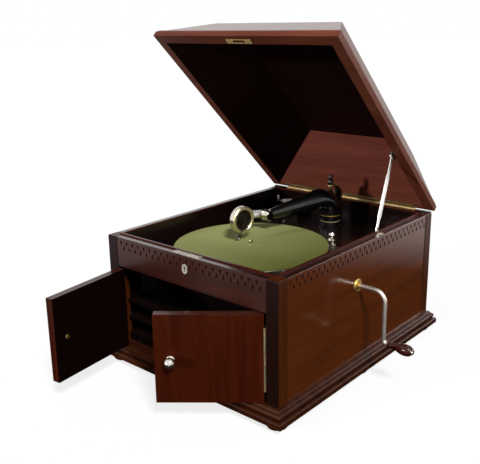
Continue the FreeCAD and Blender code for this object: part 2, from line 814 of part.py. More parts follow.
bracket_x = (stay_x + stay_half + s.slack, stay_x + stay_half + s.slack + 2.5)
slope_pitch = s.lid_cavity_height / s.lid_cavity_inset
bracket_head = under + (cavity_x - bracket_x[0]) * slope_pitch
stay_lug = block("stay_lug", bracket_x, about(stay_pin[0], s.stay_width), (under - 1, bracket_head))
lug_pin = rod("lug_pin", s.stay_pin_radius, "x", (stay_x - stay_half - s.slack, bracket_x[1]), stay_pin)
lug_cap = rod("lug_cap", s.stay_pin_radius + 1.5, "x",
              (stay_x - stay_half - s.slack - 2, stay_x - stay_half - s.slack), stay_pin)
lid_body = padded("stay_lug_slope", "XZ_Plane", [
    (cavity_x, under), (cavity_x - s.lid_cavity_inset, cavity_top), (lid_half, cavity_top), (lid_half, under),
], lid_span)
on_lid(cut("stay_bracket", fuse("stay_bracket_blank", stay_lug, lug_pin, lug_cap), lid_body))

slot_half = s.stay_pin_radius.value + SIZES["slack"]
SLOT_STEPS = 16
places = [stud_place(SIZES["lid_open"] * part / SLOT_STEPS) for part in range(SLOT_STEPS + 1)]
edges = {1: [], -1: []}
for index, place in enumerate(places):
    way = places[min(index + 1, SLOT_STEPS)] - places[max(index - 1, 0)]
    normal = Vector(0, -way.z, way.y).normalize()
    for side in edges:
        edges[side].append(place + normal * slot_half * side)
loop = edges[1] + edges[-1][::-1]
slot_face = Part.Face(Part.makePolygon(loop + loop[:1]))
slot = slot_face.extrude(Vector(s.guide_thickness.value + 2, 0, 0))
for place in (places[0], places[-1]):
    slot = slot.fuse(Part.makeCylinder(slot_half, s.guide_thickness.value + 2, place, Vector(1, 0, 0)))
slot.translate(Vector(guide_face.value - 1, 0, 0))
guide_low = min(place.z for place in places) - slot_half - SIZES["guide_margin"]
guide_high = max(place.z for place in places) + slot_half + SIZES["guide_margin"]
guide_near = min(place.y for place in places) - slot_half - SIZES["guide_margin"]
guide_far = max(place.y for place in places) + slot_half + SIZES["guide_margin"]
guide_plate = Part.makeBox(s.guide_thickness.value, guide_far - guide_near, guide_high - guide_low,
                           Vector(guide_face.value, guide_near, guide_low))
keep(shaped("stay_guide", guide_plate.cut(slot)))

# Doors: inset slabs on long hinges at the posts, in their own frames with the pin at the origin
Z_AXIS = Vector(0, 0, 1)
door_pin_x = opening_x - s.leaf_gap - s.door_leaf_thickness
door_pin_y = front_y - s.door_knuckle_radius - s.leaf_gap
door_edge = s.leaf_gap + s.door_leaf_thickness
door_span = (-(door_pin_x - s.door_gap / 2), -door_edge)
knob_reach = door_pin_x - s.knob_inset
door_face = front_y - door_pin_y
door_back = door_face + s.door_thickness
door_z = (body_z + s.door_gap, opening_z - s.door_gap)
OUTWARD = Rotation(X_AXIS, 90)
door_hinge = (5, s.door_hinge_length, s.door_knuckle_radius, s.door_pin_radius, s.door_leaf_thickness,
              s.door_leaf_width)
for side, word, opened in ((-1, "left", -s.left_door_open), (1, "right", s.right_door_open)):
    def on_door(item):
        return keep(swing(item, door_pin_x * side, door_pin_y, 0, Z_AXIS, opened))

    on_door(group(word + "_door", block("slab", flip(door_span, side), (door_face, door_back), door_z)))
    knob = turned("knob", [
        (0, 0),
        (s.knob_radius * 0.75, 0),
        (s.knob_radius * 0.75, s.knob_radius * 0.15),
        (s.knob_radius * 0.4, s.knob_radius * 0.35),
        (s.knob_radius * 0.4, s.knob_radius * 0.6),
        *bulge(s.knob_radius, s.knob_radius * 1.4, (-52, -35, -17, 0, 17, 35, 53, 72)),
        (0, s.knob_radius * 2.4),
    ])
    on_door(group(word + "_door_knob", move(knob, knob_reach * -side, door_face, s.knob_z, OUTWARD)))
    door_leaf = hinge_leaf("door_leaf", -side, 1, *door_hinge)
    on_door(group(word + "_hinge_leaf", move(door_leaf, 0, 0, s.door_hinge_z)))
    post_leaf = hinge_leaf("post_leaf", side, 0, *door_hinge)
    case_leaves.append(move(post_leaf, door_pin_x * side, door_pin_y, s.door_hinge_z))
    pin_span = (s.door_hinge_z, s.door_hinge_z + s.door_hinge_length)
    pins.append(rod("door_pin", s.door_pin_radius, "z", pin_span, (door_pin_x * side, door_pin_y)))
keep(group("hinge_case_leaves", *case_leaves))
keep(group("hinge_pins", *pins))

# Horn: a cast throat below the arm, then a flaring wooden duct under the motor to the mouth
SIDEWAYS = Rotation(Vector(0, 1, 0), Vector(0, 0, 1), Vector(1, 0, 0))
throat_z = board_under - s.throat_drop
throat_y = arm_y - s.throat_bend
DOWNWARD = SIDEWAYS.multiply(Rotation(Vector(0, 0, 1), -90))


def throat(name, radius, spare):
    return fuse(name,
                rod(name + "_drop", radius, "z", (throat_z, board_under + spare), (s.arm_x, arm_y)),
                elbow(name + "_elbow", s.throat_bend, radius, s.arm_x, throat_y, throat_z, DOWNWARD),
                rod(name + "_run", radius, "y", (throat_y - 4 - spare, throat_y),
                    (s.arm_x, throat_z - s.throat_bend)))


throat_flange = rod("throat_flange", s.throat_radius + 8, "z", (board_under - 5, board_under),
                    (s.arm_x, arm_y))
keep(cut("horn_throat", fuse("throat_outer", throat("throat_tube", s.throat_radius, 0), throat_flange),
         throat("throat_bore", s.throat_radius - s.throat_wall, 1)))

horn_start = throat_y - 4
mouth_y = front_y + s.mouth_setback
motor_floor = board_under - s.motor_height
horn_roof = motor_floor - 2
throat_axis = throat_z - s.throat_bend
mouth_half = opening_x - s.panel_step
start_half = s.throat_radius + s.slack * 10
sections = [
    (horn_start, *about(s.arm_x, start_half), *about(throat_axis, start_half)),
    (motor_rear_y - s.horn_wall, -mouth_half * 0.35, mouth_half * 0.45, bottom_z + 10, horn_roof),
    (motor_front_y, -mouth_half * 0.75, mouth_half * 0.75, bottom_z + 2, horn_roof),
    (mouth_y, -mouth_half, mouth_half, bottom_z, opening_z - 2),
]


def horn_solid(name, inset, spare):
    loops = []
    for index, (y, left, right, low, high) in enumerate(sections):
        past = spare if index == 0 else -spare if index == len(sections) - 1 else 0
        left, right, low, high = left + inset, right - inset, low + inset, high - inset
        corner = [(left, low), (right, low), (right, high), (left, high)]
        loop = [Vector(x.value, y.value + past, z.value) for x, z in corner]
        loops.append(Part.makePolygon(loop + loop[:1]))
    return Part.makeLoft(loops, True, True)


horn_bore = horn_solid("horn_bore", s.horn_wall, 0.01)
keep(shaped("horn", horn_solid("horn_outer", size(0), 0).cut(horn_bore)))

slats = []
for index in range(3):
    slat = block("slat", about(0, opening_x), (-s.louvre_depth, 0), (-s.louvre_thickness, 0))
    slat = group("tilted_slat", slat)
    slat_z = s.louvre_first_z + s.louvre_pitch * index
    slats.append(swing(slat, 0, mouth_y - s.louvre_thickness / 2, slat_z, X_AXIS, s.louvre_tilt))
keep(group("louvre_slats", *slats))

# Motor frame: bedplate under the board with its bearing lugs, and a lower plate on pillars
bed = (board_under - s.plate_thickness, board_under)
floor_plate = (motor_floor, motor_floor + s.plate_thickness)
spindle_at = (s.spindle_x, spindle_y)
barrel_at = (s.barrel_x, crank_y)
gear_pitch = s.gear_module / 2
barrel_pitch = gear_pitch * s.barrel_teeth
middle_pinion_pitch = gear_pitch * s.middle_pinion_teeth
middle_pitch = gear_pitch * s.middle_teeth
spindle_pinion_pitch = gear_pitch * s.spindle_pinion_teeth
winding_pitch = gear_pitch * s.winding_pinion_teeth
contrate_pitch = gear_pitch * s.contrate_teeth
wheel_radius = barrel_pitch * 0.43
governor_x = s.spindle_x + wheel_radius + s.worm_gap + s.worm_radius
governor_z = board_under - s.governor_drop

# The middle arbor stands where its pinion meets the barrel and its wheel meets the spindle
to_barrel = barrel_pitch + middle_pinion_pitch
to_spindle = middle_pitch + spindle_pinion_pitch
apart_x = s.spindle_x - s.barrel_x
apart_y = spindle_y - crank_y
apart = root(apart_x * apart_x + apart_y * apart_y)
run = (to_barrel * to_barrel - to_spindle * to_spindle + apart * apart) / (apart * 2)
rise = root(to_barrel * to_barrel - run * run)
middle_at = (s.barrel_x + (apart_x * run + apart_y * rise) / apart,
             crank_y + (apart_y * run - apart_x * rise) / apart)
middle_radius = s.arbor_radius * 0.6
governor_radius = s.worm_radius / 2
governor_rear = spindle_y + s.worm_radius * 4.5
governor_front = spindle_y - s.disc_radius * 4.6
lug = s.plate_thickness
lug_half = s.arbor_radius
bed_pieces = [block("bed", plate_x, plate_y, bed)]
for along in (governor_rear, governor_front):
    bed_pieces.append(block("governor_lug", about(governor_x, lug_half), (along - lug, along),
                            (governor_z - lug_half, bed[0])))
shaft_lug_x = s.spindle_x + s.motor_right - lug * 2
bed_pieces.append(block("shaft_lug", (shaft_lug_x, shaft_lug_x + lug), about(crank_y, lug_half * 1.5),
                        (s.crank_z - lug_half * 1.5, bed[0])))
bearing = (bed[0] - 1, bed[1] + 1)
spindle_journal = s.spindle_radius + 1.4
bed_holes = [
    rod("bed_hole", spindle_journal + s.running_fit, "z", bearing, spindle_at),
    rod("bed_hole", s.arbor_radius + s.running_fit, "z", (bed[0] - 1, bed[1] - 1), barrel_at),
    rod("bed_hole", middle_radius + s.running_fit, "z", (bed[0] - 1, bed[1] - 1), middle_at),
    rod("bed_hole", governor_radius + s.running_fit, "y", (governor_front - lug - 1, governor_rear + 1),
        (governor_x, governor_z)),
    rod("bed_hole", s.crank_rod_radius + s.running_fit, "x", (shaft_lug_x - 1, shaft_lug_x + lug + 1),
        (crank_y, s.crank_z)),
]
bedplate = cut("bedplate", fuse("bed_blank", *bed_pieces), *bed_holes)
frame_pieces = [block("floor_plate", plate_x, plate_y, floor_plate)]
frame_holes = []
for corner in corners:
    frame_pieces.append(rod("pillar", s.pillar_radius, "z", (floor_plate[1] - 1, bed[0]), corner))
bearing_floor = floor_plate[0] + 1
foot_bearing = (bearing_floor, floor_plate[1] + 1)
arbors = ((s.spindle_radius, spindle_at), (s.arbor_radius, barrel_at), (middle_radius, middle_at))
for radius, place in arbors:
    frame_holes.append(rod("frame_hole", radius + s.running_fit, "z", foot_bearing, place))
lower_plate = cut("lower_plate", fuse("frame_blank", *frame_pieces), *frame_holes)
keep(group("motor_frame", bedplate, lower_plate))

# Gear teeth with involute flanks, a little thinned so that the trains run free
def gear_outline(teeth, steps, phase):
    teeth = int(round(teeth))
    module = SIZES["gear_module"]
    pitch = module * teeth / 2
    base = pitch * math.cos(math.radians(20))
    radii = [pitch - module * 1.15 + step * module * 2.0 / steps for step in range(steps + 1)]

    def involute(radius):
        angle = math.acos(min(base / radius, 1.0))
        return math.tan(angle) - angle

    loop = []
    for tooth in range(teeth):
        middle = phase + 2 * math.pi * tooth / teeth
        halves = []
        for radius in radii:
            halves.append(math.pi / 2 / teeth * 0.88 + involute(pitch) - involute(radius))
        for radius, half in zip(radii, halves):
            loop.append(Vector(radius * math.cos(middle - half), radius * math.sin(middle - half), 0))
        for radius, half in zip(reversed(radii), reversed(halves)):
            loop.append(Vector(radius * math.cos(middle + half), radius * math.sin(middle + half), 0))
    return loop


def gear(teeth, steps, phase, low, high):
    loop = gear_outline(teeth, steps, phase)
    solid = Part.Face(Part.makePolygon(loop + loop[:1])).extrude(Vector(0, 0, high - low))
    solid.translate(Vector(0, 0, low))
    return solid


def facing(start, stop):
    return math.atan2(stop[1].value - start[1].value, stop[0].value - start[0].value)


def gap_phase(angle, teeth):
    """Turns a gear so that a gap between two teeth lies at this angle."""
    return angle + math.pi / teeth


gear_thick = s.gear_width.value
middle_low = floor_plate[1].value + 4
barrel_low = middle_low + gear_thick * 2
barrel_top = barrel_low + gear_thick + s.barrel_height.value

# Spring barrel with its gear round the foot, turning on the winding arbor
drum = Part.makeCylinder(s.barrel_radius.value, barrel_top - barrel_low, Vector(0, 0, barrel_low))
barrel_phase = facing(barrel_at, middle_at)
drum = drum.fuse(gear(SIZES["barrel_teeth"], 1, barrel_phase, barrel_low, barrel_low + gear_thick))
arbor_hole = s.arbor_radius.value + s.running_fit.value
drum = drum.cut(Part.makeCylinder(arbor_hole, barrel_top, Vector()))
keep(move(shaped("spring_barrel", drum.removeSplitter()), *barrel_at))

# Winding arbor through the barrel, with the contrate wheel that the crank's pinion drives
contrate_tip = s.crank_z.value - winding_pitch.value + s.gear_module.value * 0.6
contrate_root = contrate_tip - s.gear_module.value * 2.0
contrate_outer = contrate_pitch.value + s.gear_width.value
contrate_inner = contrate_pitch.value - s.gear_width.value
contrate_depth = contrate_tip - contrate_root
contrate_web = s.gear_width.value
wheel = Part.makeCylinder(contrate_outer, contrate_depth + contrate_web,
                          Vector(0, 0, contrate_root - contrate_web))
wheel = wheel.cut(Part.makeCylinder(contrate_inner, contrate_depth * 2, Vector(0, 0, contrate_root)))
slot_width = math.pi * s.gear_module.value * 0.78
cutters = []
contrate_teeth = int(round(SIZES["contrate_teeth"]))
for tooth in range(contrate_teeth):
    cutter = Part.makeBox(contrate_outer, slot_width, contrate_depth * 2,
                          Vector(contrate_inner / 2, -slot_width / 2, contrate_root))
    cutter.rotate(Vector(), Vector(0, 0, 1), 360 * tooth / contrate_teeth)
    cutters.append(cutter)
wheel = wheel.cut(Part.makeCompound(cutters))
shaft_low = bearing_floor.value + s.slack.value
shaft_length = bed[1].value - 1 - s.slack.value - shaft_low
arbor = Part.makeCylinder(s.arbor_radius.value, shaft_length, Vector(0, 0, shaft_low))
keep(move(shaped("winding_arbor", arbor.fuse(wheel).removeSplitter()), *barrel_at))

# Middle arbor: a pinion on the barrel gear and a wheel on the spindle pinion
middle = Part.makeCylinder(middle_radius.value, shaft_length, Vector(0, 0, shaft_low))
wheel_phase = facing(middle_at, spindle_at)
middle_wheel = gear(SIZES["middle_teeth"], 1, wheel_phase, middle_low, middle_low + gear_thick)
middle_phase = gap_phase(facing(middle_at, barrel_at), SIZES["middle_pinion_teeth"])
middle_pinion = gear(SIZES["middle_pinion_teeth"], 2, middle_phase, middle_low + gear_thick,
                     barrel_low + gear_thick + 1)
keep(move(shaped("middle_arbor", middle.fuse([middle_wheel, middle_pinion]).removeSplitter()), *middle_at))

# Spindle with its flange, pinion and worm wheel
felt_top = s.platter_top + s.felt_thickness
flange_z = s.platter_top - s.platter_skirt + 2
spindle_seat = s.spindle_radius + s.slack * 2
spindle_core = turned("spindle_core", [
    (0, shaft_low),
    (s.spindle_radius, shaft_low),
    (s.spindle_radius, bed[0] - 10),
    (spindle_journal, bed[0] - 10),
    (spindle_journal, flange_z - 3),
    (s.hub_radius * 0.6, flange_z - 3),
    (s.hub_radius * 0.6, flange_z),
    (spindle_seat, flange_z),
    (spindle_seat, felt_top),
    (s.spindle_radius, felt_top),
    (s.spindle_radius, felt_top + s.spindle_show - 2),
    (s.spindle_radius * 0.4, felt_top + s.spindle_show),
    (0, felt_top + s.spindle_show),
])
pinion_phase = gap_phase(facing(spindle_at, middle_at), SIZES["spindle_pinion_teeth"])
pinion_low = middle_low - 1
pinion = gear(SIZES["spindle_pinion_teeth"], 2, pinion_phase, pinion_low, pinion_low + gear_thick + 2)
wheel_teeth = int(round(SIZES["worm_wheel_teeth"]))
wheel_loop = []
for tooth in range(wheel_teeth):
    for share, depth in ((0.0, 1.0), (0.3, 1.0), (0.5, 0.93), (0.8, 0.93)):
        turn = 2 * math.pi * (tooth + share) / wheel_teeth
        reach_out = wheel_radius.value * depth
        wheel_loop.append(Vector(reach_out * math.cos(turn), reach_out * math.sin(turn), 0))
wheel_face = Part.Face(Part.makePolygon(wheel_loop + wheel_loop[:1]))
worm_wheel = wheel_face.extrude(Vector(0, 0, gear_thick * 2))
worm_wheel.translate(Vector(0, 0, governor_z.value - gear_thick))
spindle = fuse("spindle", spindle_core, shaped("spindle_pinion", pinion), shaped("worm_wheel", worm_wheel))
keep(move(spindle, *spindle_at))

# Platter: a pressed plate with a skirt and a hub, covered with felt
platter = turned("platter", [
    (spindle_seat + s.running_fit, flange_z),
    (s.hub_radius, flange_z),
    (s.hub_radius, s.platter_top - s.platter_wall),
    (s.platter_radius - s.platter_wall, s.platter_top - s.platter_wall),
    (s.platter_radius - s.platter_wall, s.platter_top - s.platter_skirt),
    (s.platter_radius, s.platter_top - s.platter_skirt),
    (s.platter_radius, s.platter_top - s.platter_wall),
    (s.platter_radius - s.platter_wall * 0.3, s.platter_top - s.platter_wall * 0.3),
    (s.platter_radius - s.platter_wall, s.platter_top),
    (spindle_seat + s.running_fit, s.platter_top),
])
keep(move(platter, *spindle_at))
felt_radius = s.platter_radius - s.platter_wall
felt = rod("felt_disc", felt_radius, "z", (s.platter_top, felt_top), spindle_at)
felt_hole = rod("felt_hole", spindle_seat + s.slack, "z", (s.platter_top - 1, felt_top + 1), spindle_at)
keep(cut("turntable_felt", felt, felt_hole))

# Governor: worm shaft, three weights on leaf springs, and the friction disc
governor_at = (governor_x, governor_z)
collar_y = spindle_y - s.worm_radius * 4
disc_y = governor_front + s.disc_radius * 0.8
governor_parts = [fuse(
    "governor_shaft",
    rod("governor_rod", governor_radius, "y", (governor_front - lug, governor_rear), governor_at),
    rod("governor_worm", s.worm_radius, "y", about(spindle_y, s.worm_radius * 2.2), governor_at),
    rod("governor_collar", s.worm_radius * 1.5, "y", (collar_y - 5, collar_y), governor_at),
    rod("governor_disc", s.disc_radius, "y", (disc_y, disc_y + 2), governor_at),
    rod("governor_sleeve", s.worm_radius * 1.5, "y", (disc_y, disc_y + 7), governor_at),
)]
weight_y = (collar_y - 5 + disc_y + 7) / 2
spring_half = s.worm_radius * 0.8
leaf_out = s.worm_radius * 1.5
leaf_thickness = s.slack * 2
weight_span = (leaf_out + leaf_thickness, s.weight_reach + s.weight_radius)
for turn in (0, 120, 240):
    weight = rod("weight", s.weight_radius, "z", weight_span, (0, weight_y))
    leaf = block("leaf", about(0, spring_half), (disc_y + 2, collar_y), (leaf_out, leaf_out + leaf_thickness))
    swinging = group("swinging_weight", weight, leaf)
    governor_parts.append(move(swinging, governor_x, 0, governor_z, Rotation(Vector(0, 1, 0), turn)))
keep(group("governor", *governor_parts))

# Crank: winding shaft with its pinion, bent rod, turned handle on a steel core
crank_at = (crank_y, s.crank_z)
outer_face = half_w - s.panel_step
bush = fuse("crank_bush",
            rod("crank_flange", s.crank_plate_radius, "x", (outer_face, outer_face + 2.5), crank_at,
                s.crank_plate_radius * 0.85),
            rod("crank_tube", bush_radius, "x", (inner_x, outer_face + 5), crank_at))
bush_bore = rod("bush_bore", s.crank_rod_radius + s.running_fit, "x", (inner_x - 1, outer_face + 9), crank_at)
keep(cut("crank_escutcheon", bush, bush_bore))
pinion_x = s.barrel_x + contrate_pitch
pinion_half = s.gear_width * 0.75
joint_x = inner_x - 10
winding_pinion = gear(SIZES["winding_pinion_teeth"], 2, math.pi, -pinion_half.value, pinion_half.value)
winding_pinion.rotate(Vector(), Vector(0, 1, 0), 90)
winding_pinion.translate(Vector(pinion_x.value, crank_y.value, s.crank_z.value))
shaft_start = pinion_x.value - pinion_half.value
winding_rod = Part.makeCylinder(s.crank_rod_radius.value, joint_x.value - shaft_start,
                                Vector(shaft_start, crank_y.value, s.crank_z.value), Vector(1, 0, 0))
keep(shaped("winding_shaft", winding_rod.fuse(winding_pinion).removeSplitter()))
arm_x_out = half_w + s.crank_reach
foot_z = s.crank_z - s.crank_throw
DROP_BEND = Rotation(Vector(1, 0, 0), Vector(0, 0, 1), Vector(0, -1, 0))
FOOT_BEND = Rotation(Vector(-1, 0, 0), Vector(0, 0, -1), Vector(0, -1, 0))
handle_start = arm_x_out + s.crank_foot_bend + 2
handle_end = handle_start + s.handle_length
crank_pieces = [
    rod("crank_inner", s.crank_rod_radius, "x", (joint_x, arm_x_out - s.crank_bend), crank_at),
    elbow("crank_top_bend", s.crank_bend, s.crank_rod_radius, arm_x_out - s.crank_bend, crank_y,
          s.crank_z - s.crank_bend, DROP_BEND),
    rod("crank_drop", s.crank_rod_radius, "z", (foot_z + s.crank_foot_bend, s.crank_z - s.crank_bend),
        (arm_x_out, crank_y)),
    elbow("crank_foot", s.crank_foot_bend, s.crank_rod_radius, arm_x_out + s.crank_foot_bend, crank_y,
          foot_z + s.crank_foot_bend, FOOT_BEND),
    rod("crank_shoulder", s.crank_rod_radius, "x", (arm_x_out + s.crank_foot_bend, handle_start - s.slack),
        (crank_y, foot_z)),
    rod("handle_core", s.handle_core, "x", (handle_start - 1, handle_end + 1), (crank_y, foot_z)),
    rod("handle_cap", s.handle_core * 1.6, "x", (handle_end + s.slack, handle_end + 2), (crank_y, foot_z)),
]
keep(fuse("crank_rod", *crank_pieces))
core_bore = s.handle_core + s.running_fit
handle = turned("handle_turning", [
    (core_bore, 0),
    (s.handle_neck, 0),
    (s.handle_neck, s.handle_length * 0.08),
    (s.handle_neck * 0.85, s.handle_length * 0.18),
    (s.handle_neck, s.handle_length * 0.34),
    (s.handle_radius * 0.77, s.handle_length * 0.46),
    (s.handle_radius * 0.93, s.handle_length * 0.58),
    (s.handle_radius, s.handle_length * 0.7),
    (s.handle_radius * 0.98, s.handle_length * 0.8),
    (s.handle_radius * 0.88, s.handle_length * 0.9),
    (s.handle_neck, s.handle_length),
    (core_bore, s.handle_length),
])
keep(group("crank_handle", move(handle, handle_start, crank_y, foot_z, ALONG["x"])))

# Tone arm base on the board, ringed, open to the throat below
base_top = s.arm_base_height + s.arm_neck_height
base = turned("tonearm_base", [
    (arm_bore, 0),
    (s.arm_base_radius + 3, 0),
    (s.arm_base_radius + 3, 3),
    (s.arm_base_radius, 4.5),
    (s.arm_base_radius, s.arm_base_height),
    (s.arm_neck_radius, s.arm_base_height + 1),
    (s.arm_neck_radius, base_top),
    (arm_bore - 3, base_top),
    (arm_bore - 3, s.arm_base_height),
    (arm_bore, s.arm_base_height),
])
keep(move(base, s.arm_x, arm_y, board_z))

# Swinging arm in its own frame: pivot at the origin on the board, arm along -Y
ARM_BEND = SIDEWAYS


def on_arm(item):
    return keep(swing(item, s.arm_x, arm_y, board_z, Z_AXIS, s.arm_yaw))


elbow_foot = base_top + s.slack
bend_sweep = 90 + s.arm_slope
bend_end_y = -s.arm_bend * (1 + sine(s.arm_slope))
bend_end_z = s.arm_bend_z + s.arm_bend * cosine(s.arm_slope)
tip_z = bend_end_z - (s.arm_length + bend_end_y) * sine(s.arm_slope) / cosine(s.arm_slope)
tube_run = (s.arm_length + bend_end_y - s.barrel_end_radius * 0.6) / cosine(s.arm_slope)


def arm_tube(name, less):
    """The elbow's foot and bend and the sloping, tapered tube, thinner by this much."""
    thick = s.arm_tube_radius - less
    taper = rod(name + "_taper", s.arm_tip_radius - less, "y", (-tube_run, 0), (0, 0), thick)
    return fuse(name,
                rod(name + "_foot", thick, "z", (elbow_foot, s.arm_bend_z), (0, 0)),
                elbow(name + "_bend", s.arm_bend, thick, 0, -s.arm_bend, s.arm_bend_z, ARM_BEND, bend_sweep),
                swing(group(name + "_run", taper), 0, bend_end_y, bend_end_z, X_AXIS, s.arm_slope))


def at_tip(name, *pieces):
    """Pieces of the end barrel, which lies across the arm and a little askew."""
    return swing(group(name, *pieces), 0, -s.arm_length, tip_z, Z_AXIS, s.barrel_skew)


collar = rod("elbow_collar", s.arm_collar_radius, "z", (elbow_foot, elbow_foot + 4), (0, 0))
boss = rod("elbow_boss", s.arm_tube_radius * 0.4, "z", (s.boss_top - 8, s.boss_top), (0, 0),
           s.arm_tube_radius * 0.2)
lip_face = -s.barrel_end_half - 2
end_wall = s.barrel_end_half - 5
cap_face = s.barrel_end_half + 2
end_barrel = fuse("end_barrel",
                  rod("end_tube", s.barrel_end_radius, "x", about(0, s.barrel_end_half), (0, 0)),
                  rod("end_lip", s.barrel_end_radius + 1, "x", (lip_face, -s.barrel_end_half + 1), (0, 0)),
                  rod("end_cap", s.barrel_end_radius - 1.5, "x", (s.barrel_end_half - 1, cap_face), (0, 0)))
end_bore = rod("end_bore", s.neck_radius + s.running_fit, "x", (lip_face - 1, end_wall), (0, 0))
cap_slot = block("cap_slot", (cap_face - 1, cap_face + 1), about(0, s.barrel_end_radius), about(0, 0.8))
arm_whole = fuse("arm_whole", arm_tube("arm_outer", size(0)), collar, boss,
                 at_tip("barrel_placed", end_barrel))
on_arm(cut("tonearm", arm_whole, arm_tube("arm_inner", s.arm_wall), at_tip("bore_placed", end_bore),
           at_tip("slot_placed", cap_slot)))

# Pivot bracket behind the elbow, arched over it, and the finial screw on the pivot
bracket_near = s.bracket_reach - s.bracket_depth
crown_foot = s.bracket_top - s.bracket_crown
inner_round = bracket_near / 2
arch = s.bracket_reach - s.bracket_depth / 2
bracket_web = padded("bracket_web", "YZ_Plane", [
    (bracket_near, 0),
    (s.bracket_reach, 0),
    (s.bracket_reach, s.bracket_top - arch),
    (s.bracket_reach - arch, s.bracket_top, arch),
    (0, s.bracket_top),
    (0, crown_foot),
    (bracket_near - inner_round, crown_foot),
    (bracket_near, crown_foot - inner_round, -inner_round),
], s.bracket_thickness)
crown_boss = rod("crown_boss", s.bracket_thickness / 2, "z", (crown_foot, s.bracket_top + 2), (0, 0))
bracket_foot = block("bracket_foot", about(0, s.bracket_thickness), (bracket_near, s.bracket_reach), (0, 4))
stem_radius = s.bracket_thickness / 4
stem_bore = rod("stem_bore", stem_radius, "z", (s.boss_top - 1, s.bracket_top + 5), (0, 0))
bracket = cut("pivot_bracket", fuse("bracket_whole", bracket_web, crown_boss, bracket_foot), stem_bore)
keep(move(bracket, s.arm_x, arm_y, board_z))
knob_low = s.bracket_top + 2
knob_tall = s.finial_top - knob_low
finial = turned("pivot_finial", [
    (0, s.boss_top + s.slack),
    (stem_radius * 0.4, s.boss_top + s.slack),
    (stem_radius, s.boss_top + stem_radius),
    (stem_radius, knob_low),
    (stem_radius * 1.8, knob_low),
    (stem_radius * 2.1, knob_low + knob_tall * 0.12),
    (stem_radius * 2.1, knob_low + knob_tall * 0.32),
    (stem_radius * 1.7, knob_low + knob_tall * 0.43),
    (stem_radius * 1.2, knob_low + knob_tall * 0.5),
    (stem_radius * 1.5, knob_low + knob_tall * 0.6),
    (stem_radius * 1.5, knob_low + knob_tall * 0.78),
    (stem_radius, knob_low + knob_tall * 0.93),
    (0, s.finial_top),
])
keep(move(finial, s.arm_x, arm_y, board_z))

# Gooseneck and sound box in their own frame: throw-back axis along X through the arm's end barrel
hinge_at = (s.arm_x + s.arm_length * sine(s.arm_yaw), arm_y - s.arm_length * cosine(s.arm_yaw),
            board_z + tip_z)
neck_yaw = s.arm_yaw + s.barrel_skew


def on_neck(item, name):
    tilted = swing(group(name + "_tilted", item), 0, 0, 0, X_AXIS, -s.neck_tilt)
    return keep(swing(group(name, tilted), *hinge_at, Z_AXIS, neck_yaw))


def neck_tube(name, radius, spare):
    """Out of the barrel, forward along its side and back across into the sound box."""
    side_x = -s.neck_offset - s.neck_bend
    far_x = side_x + s.neck_far_bend
    far_y = s.neck_far_bend - s.neck_length
    return fuse(name,
                rod(name + "_stub", radius, "x", (-s.neck_offset, end_wall - s.slack * 4 + spare), (0, 0)),
                elbow(name + "_near", s.neck_bend, radius, -s.neck_offset, -s.neck_bend, 0,
                      Rotation(Z_AXIS, 90)),
                rod(name + "_side", radius, "y", (far_y, -s.neck_bend), (side_x, 0)),
                elbow(name + "_far", s.neck_far_bend, radius, far_x, far_y, 0, Rotation(Z_AXIS, 180)),
                rod(name + "_end", radius, "x", (far_x, s.box_back + spare), (-s.neck_length, 0)))


neck_inner = s.neck_radius - s.neck_wall
neck_whole = cut("neck_whole", neck_tube("neck_outer", s.neck_radius, 0),
                 neck_tube("neck_bore", neck_inner, 1))
on_neck(neck_whole, "gooseneck")
box_at = (0, -s.neck_length, 0)


def box_turned(name, points):
    """A turned piece of the sound box, its axis along X."""
    return on_neck(move(turned(name + "_turning", points), *box_at, ALONG["x"]), name)


box_inner = s.box_radius - s.box_wall
box_front = s.box_back + s.box_depth
seat_x = box_front - 3
lip = s.ring_inner + 1
box_turned("soundbox_shell", [
    (neck_inner, s.box_back),
    (s.box_radius - 2, s.box_back),
    (s.box_radius, s.box_back + 2),
    (s.box_radius, box_front),
    (box_inner, box_front),
    (box_inner, seat_x),
    (lip, seat_x),
    (lip, s.box_back + 2),
    (neck_inner, s.box_back + 2),
])
ripple = s.ring_inner / 5
box_turned("diaphragm", [
    (0, seat_x),
    (ripple, seat_x - 0.8),
    (ripple * 2, seat_x),
    (ripple * 3, seat_x - 0.8),
    (ripple * 4, seat_x),
    (box_inner - s.running_fit, seat_x),
    (box_inner - s.running_fit, seat_x + s.diaphragm_thickness),
    (ripple * 4, seat_x + s.diaphragm_thickness),
    (ripple * 3, seat_x + s.diaphragm_thickness - 0.8),
    (ripple * 2, seat_x + s.diaphragm_thickness),
    (ripple, seat_x + s.diaphragm_thickness - 0.8),
    (0, seat_x + s.diaphragm_thickness),
])
film_front = seat_x + s.diaphragm_thickness
ring_front = box_front + s.ring_depth
ring_blank = turned("ring_turning", [
    (lip, film_front),
    (box_inner - s.running_fit, film_front),
    (box_inner - s.running_fit, box_front),
    (s.box_radius + 0.6, box_front),
    (s.box_radius + 0.6, ring_front - 1.5),
    (s.box_radius - 1, ring_front),
    (s.ring_inner + 1.5, ring_front),
    (s.ring_inner, ring_front - 1.5),
    (s.ring_inner, box_front),
    (lip, box_front),
])
bar_half = s.chuck_radius / 2
bar_x = (box_front + s.slack, ring_front - s.slack)
bar_room = block("bar_room", (film_front - 1, ring_front + 1), about(0, bar_half + s.slack),
                 (-s.box_radius - 5, 0))
bar_room = swing(group("leaning_room", bar_room), *box_at, X_AXIS, -s.needle_lean)
ring_piece = move(ring_blank, *box_at, ALONG["x"])
on_neck(cut("ring_notched", ring_piece, bar_room), "soundbox_ring")
bar_middle = (bar_x[0] + bar_x[1]) / 2
chuck_span = (-s.needle_reach + s.chuck_radius * 3, -s.box_radius - 1)
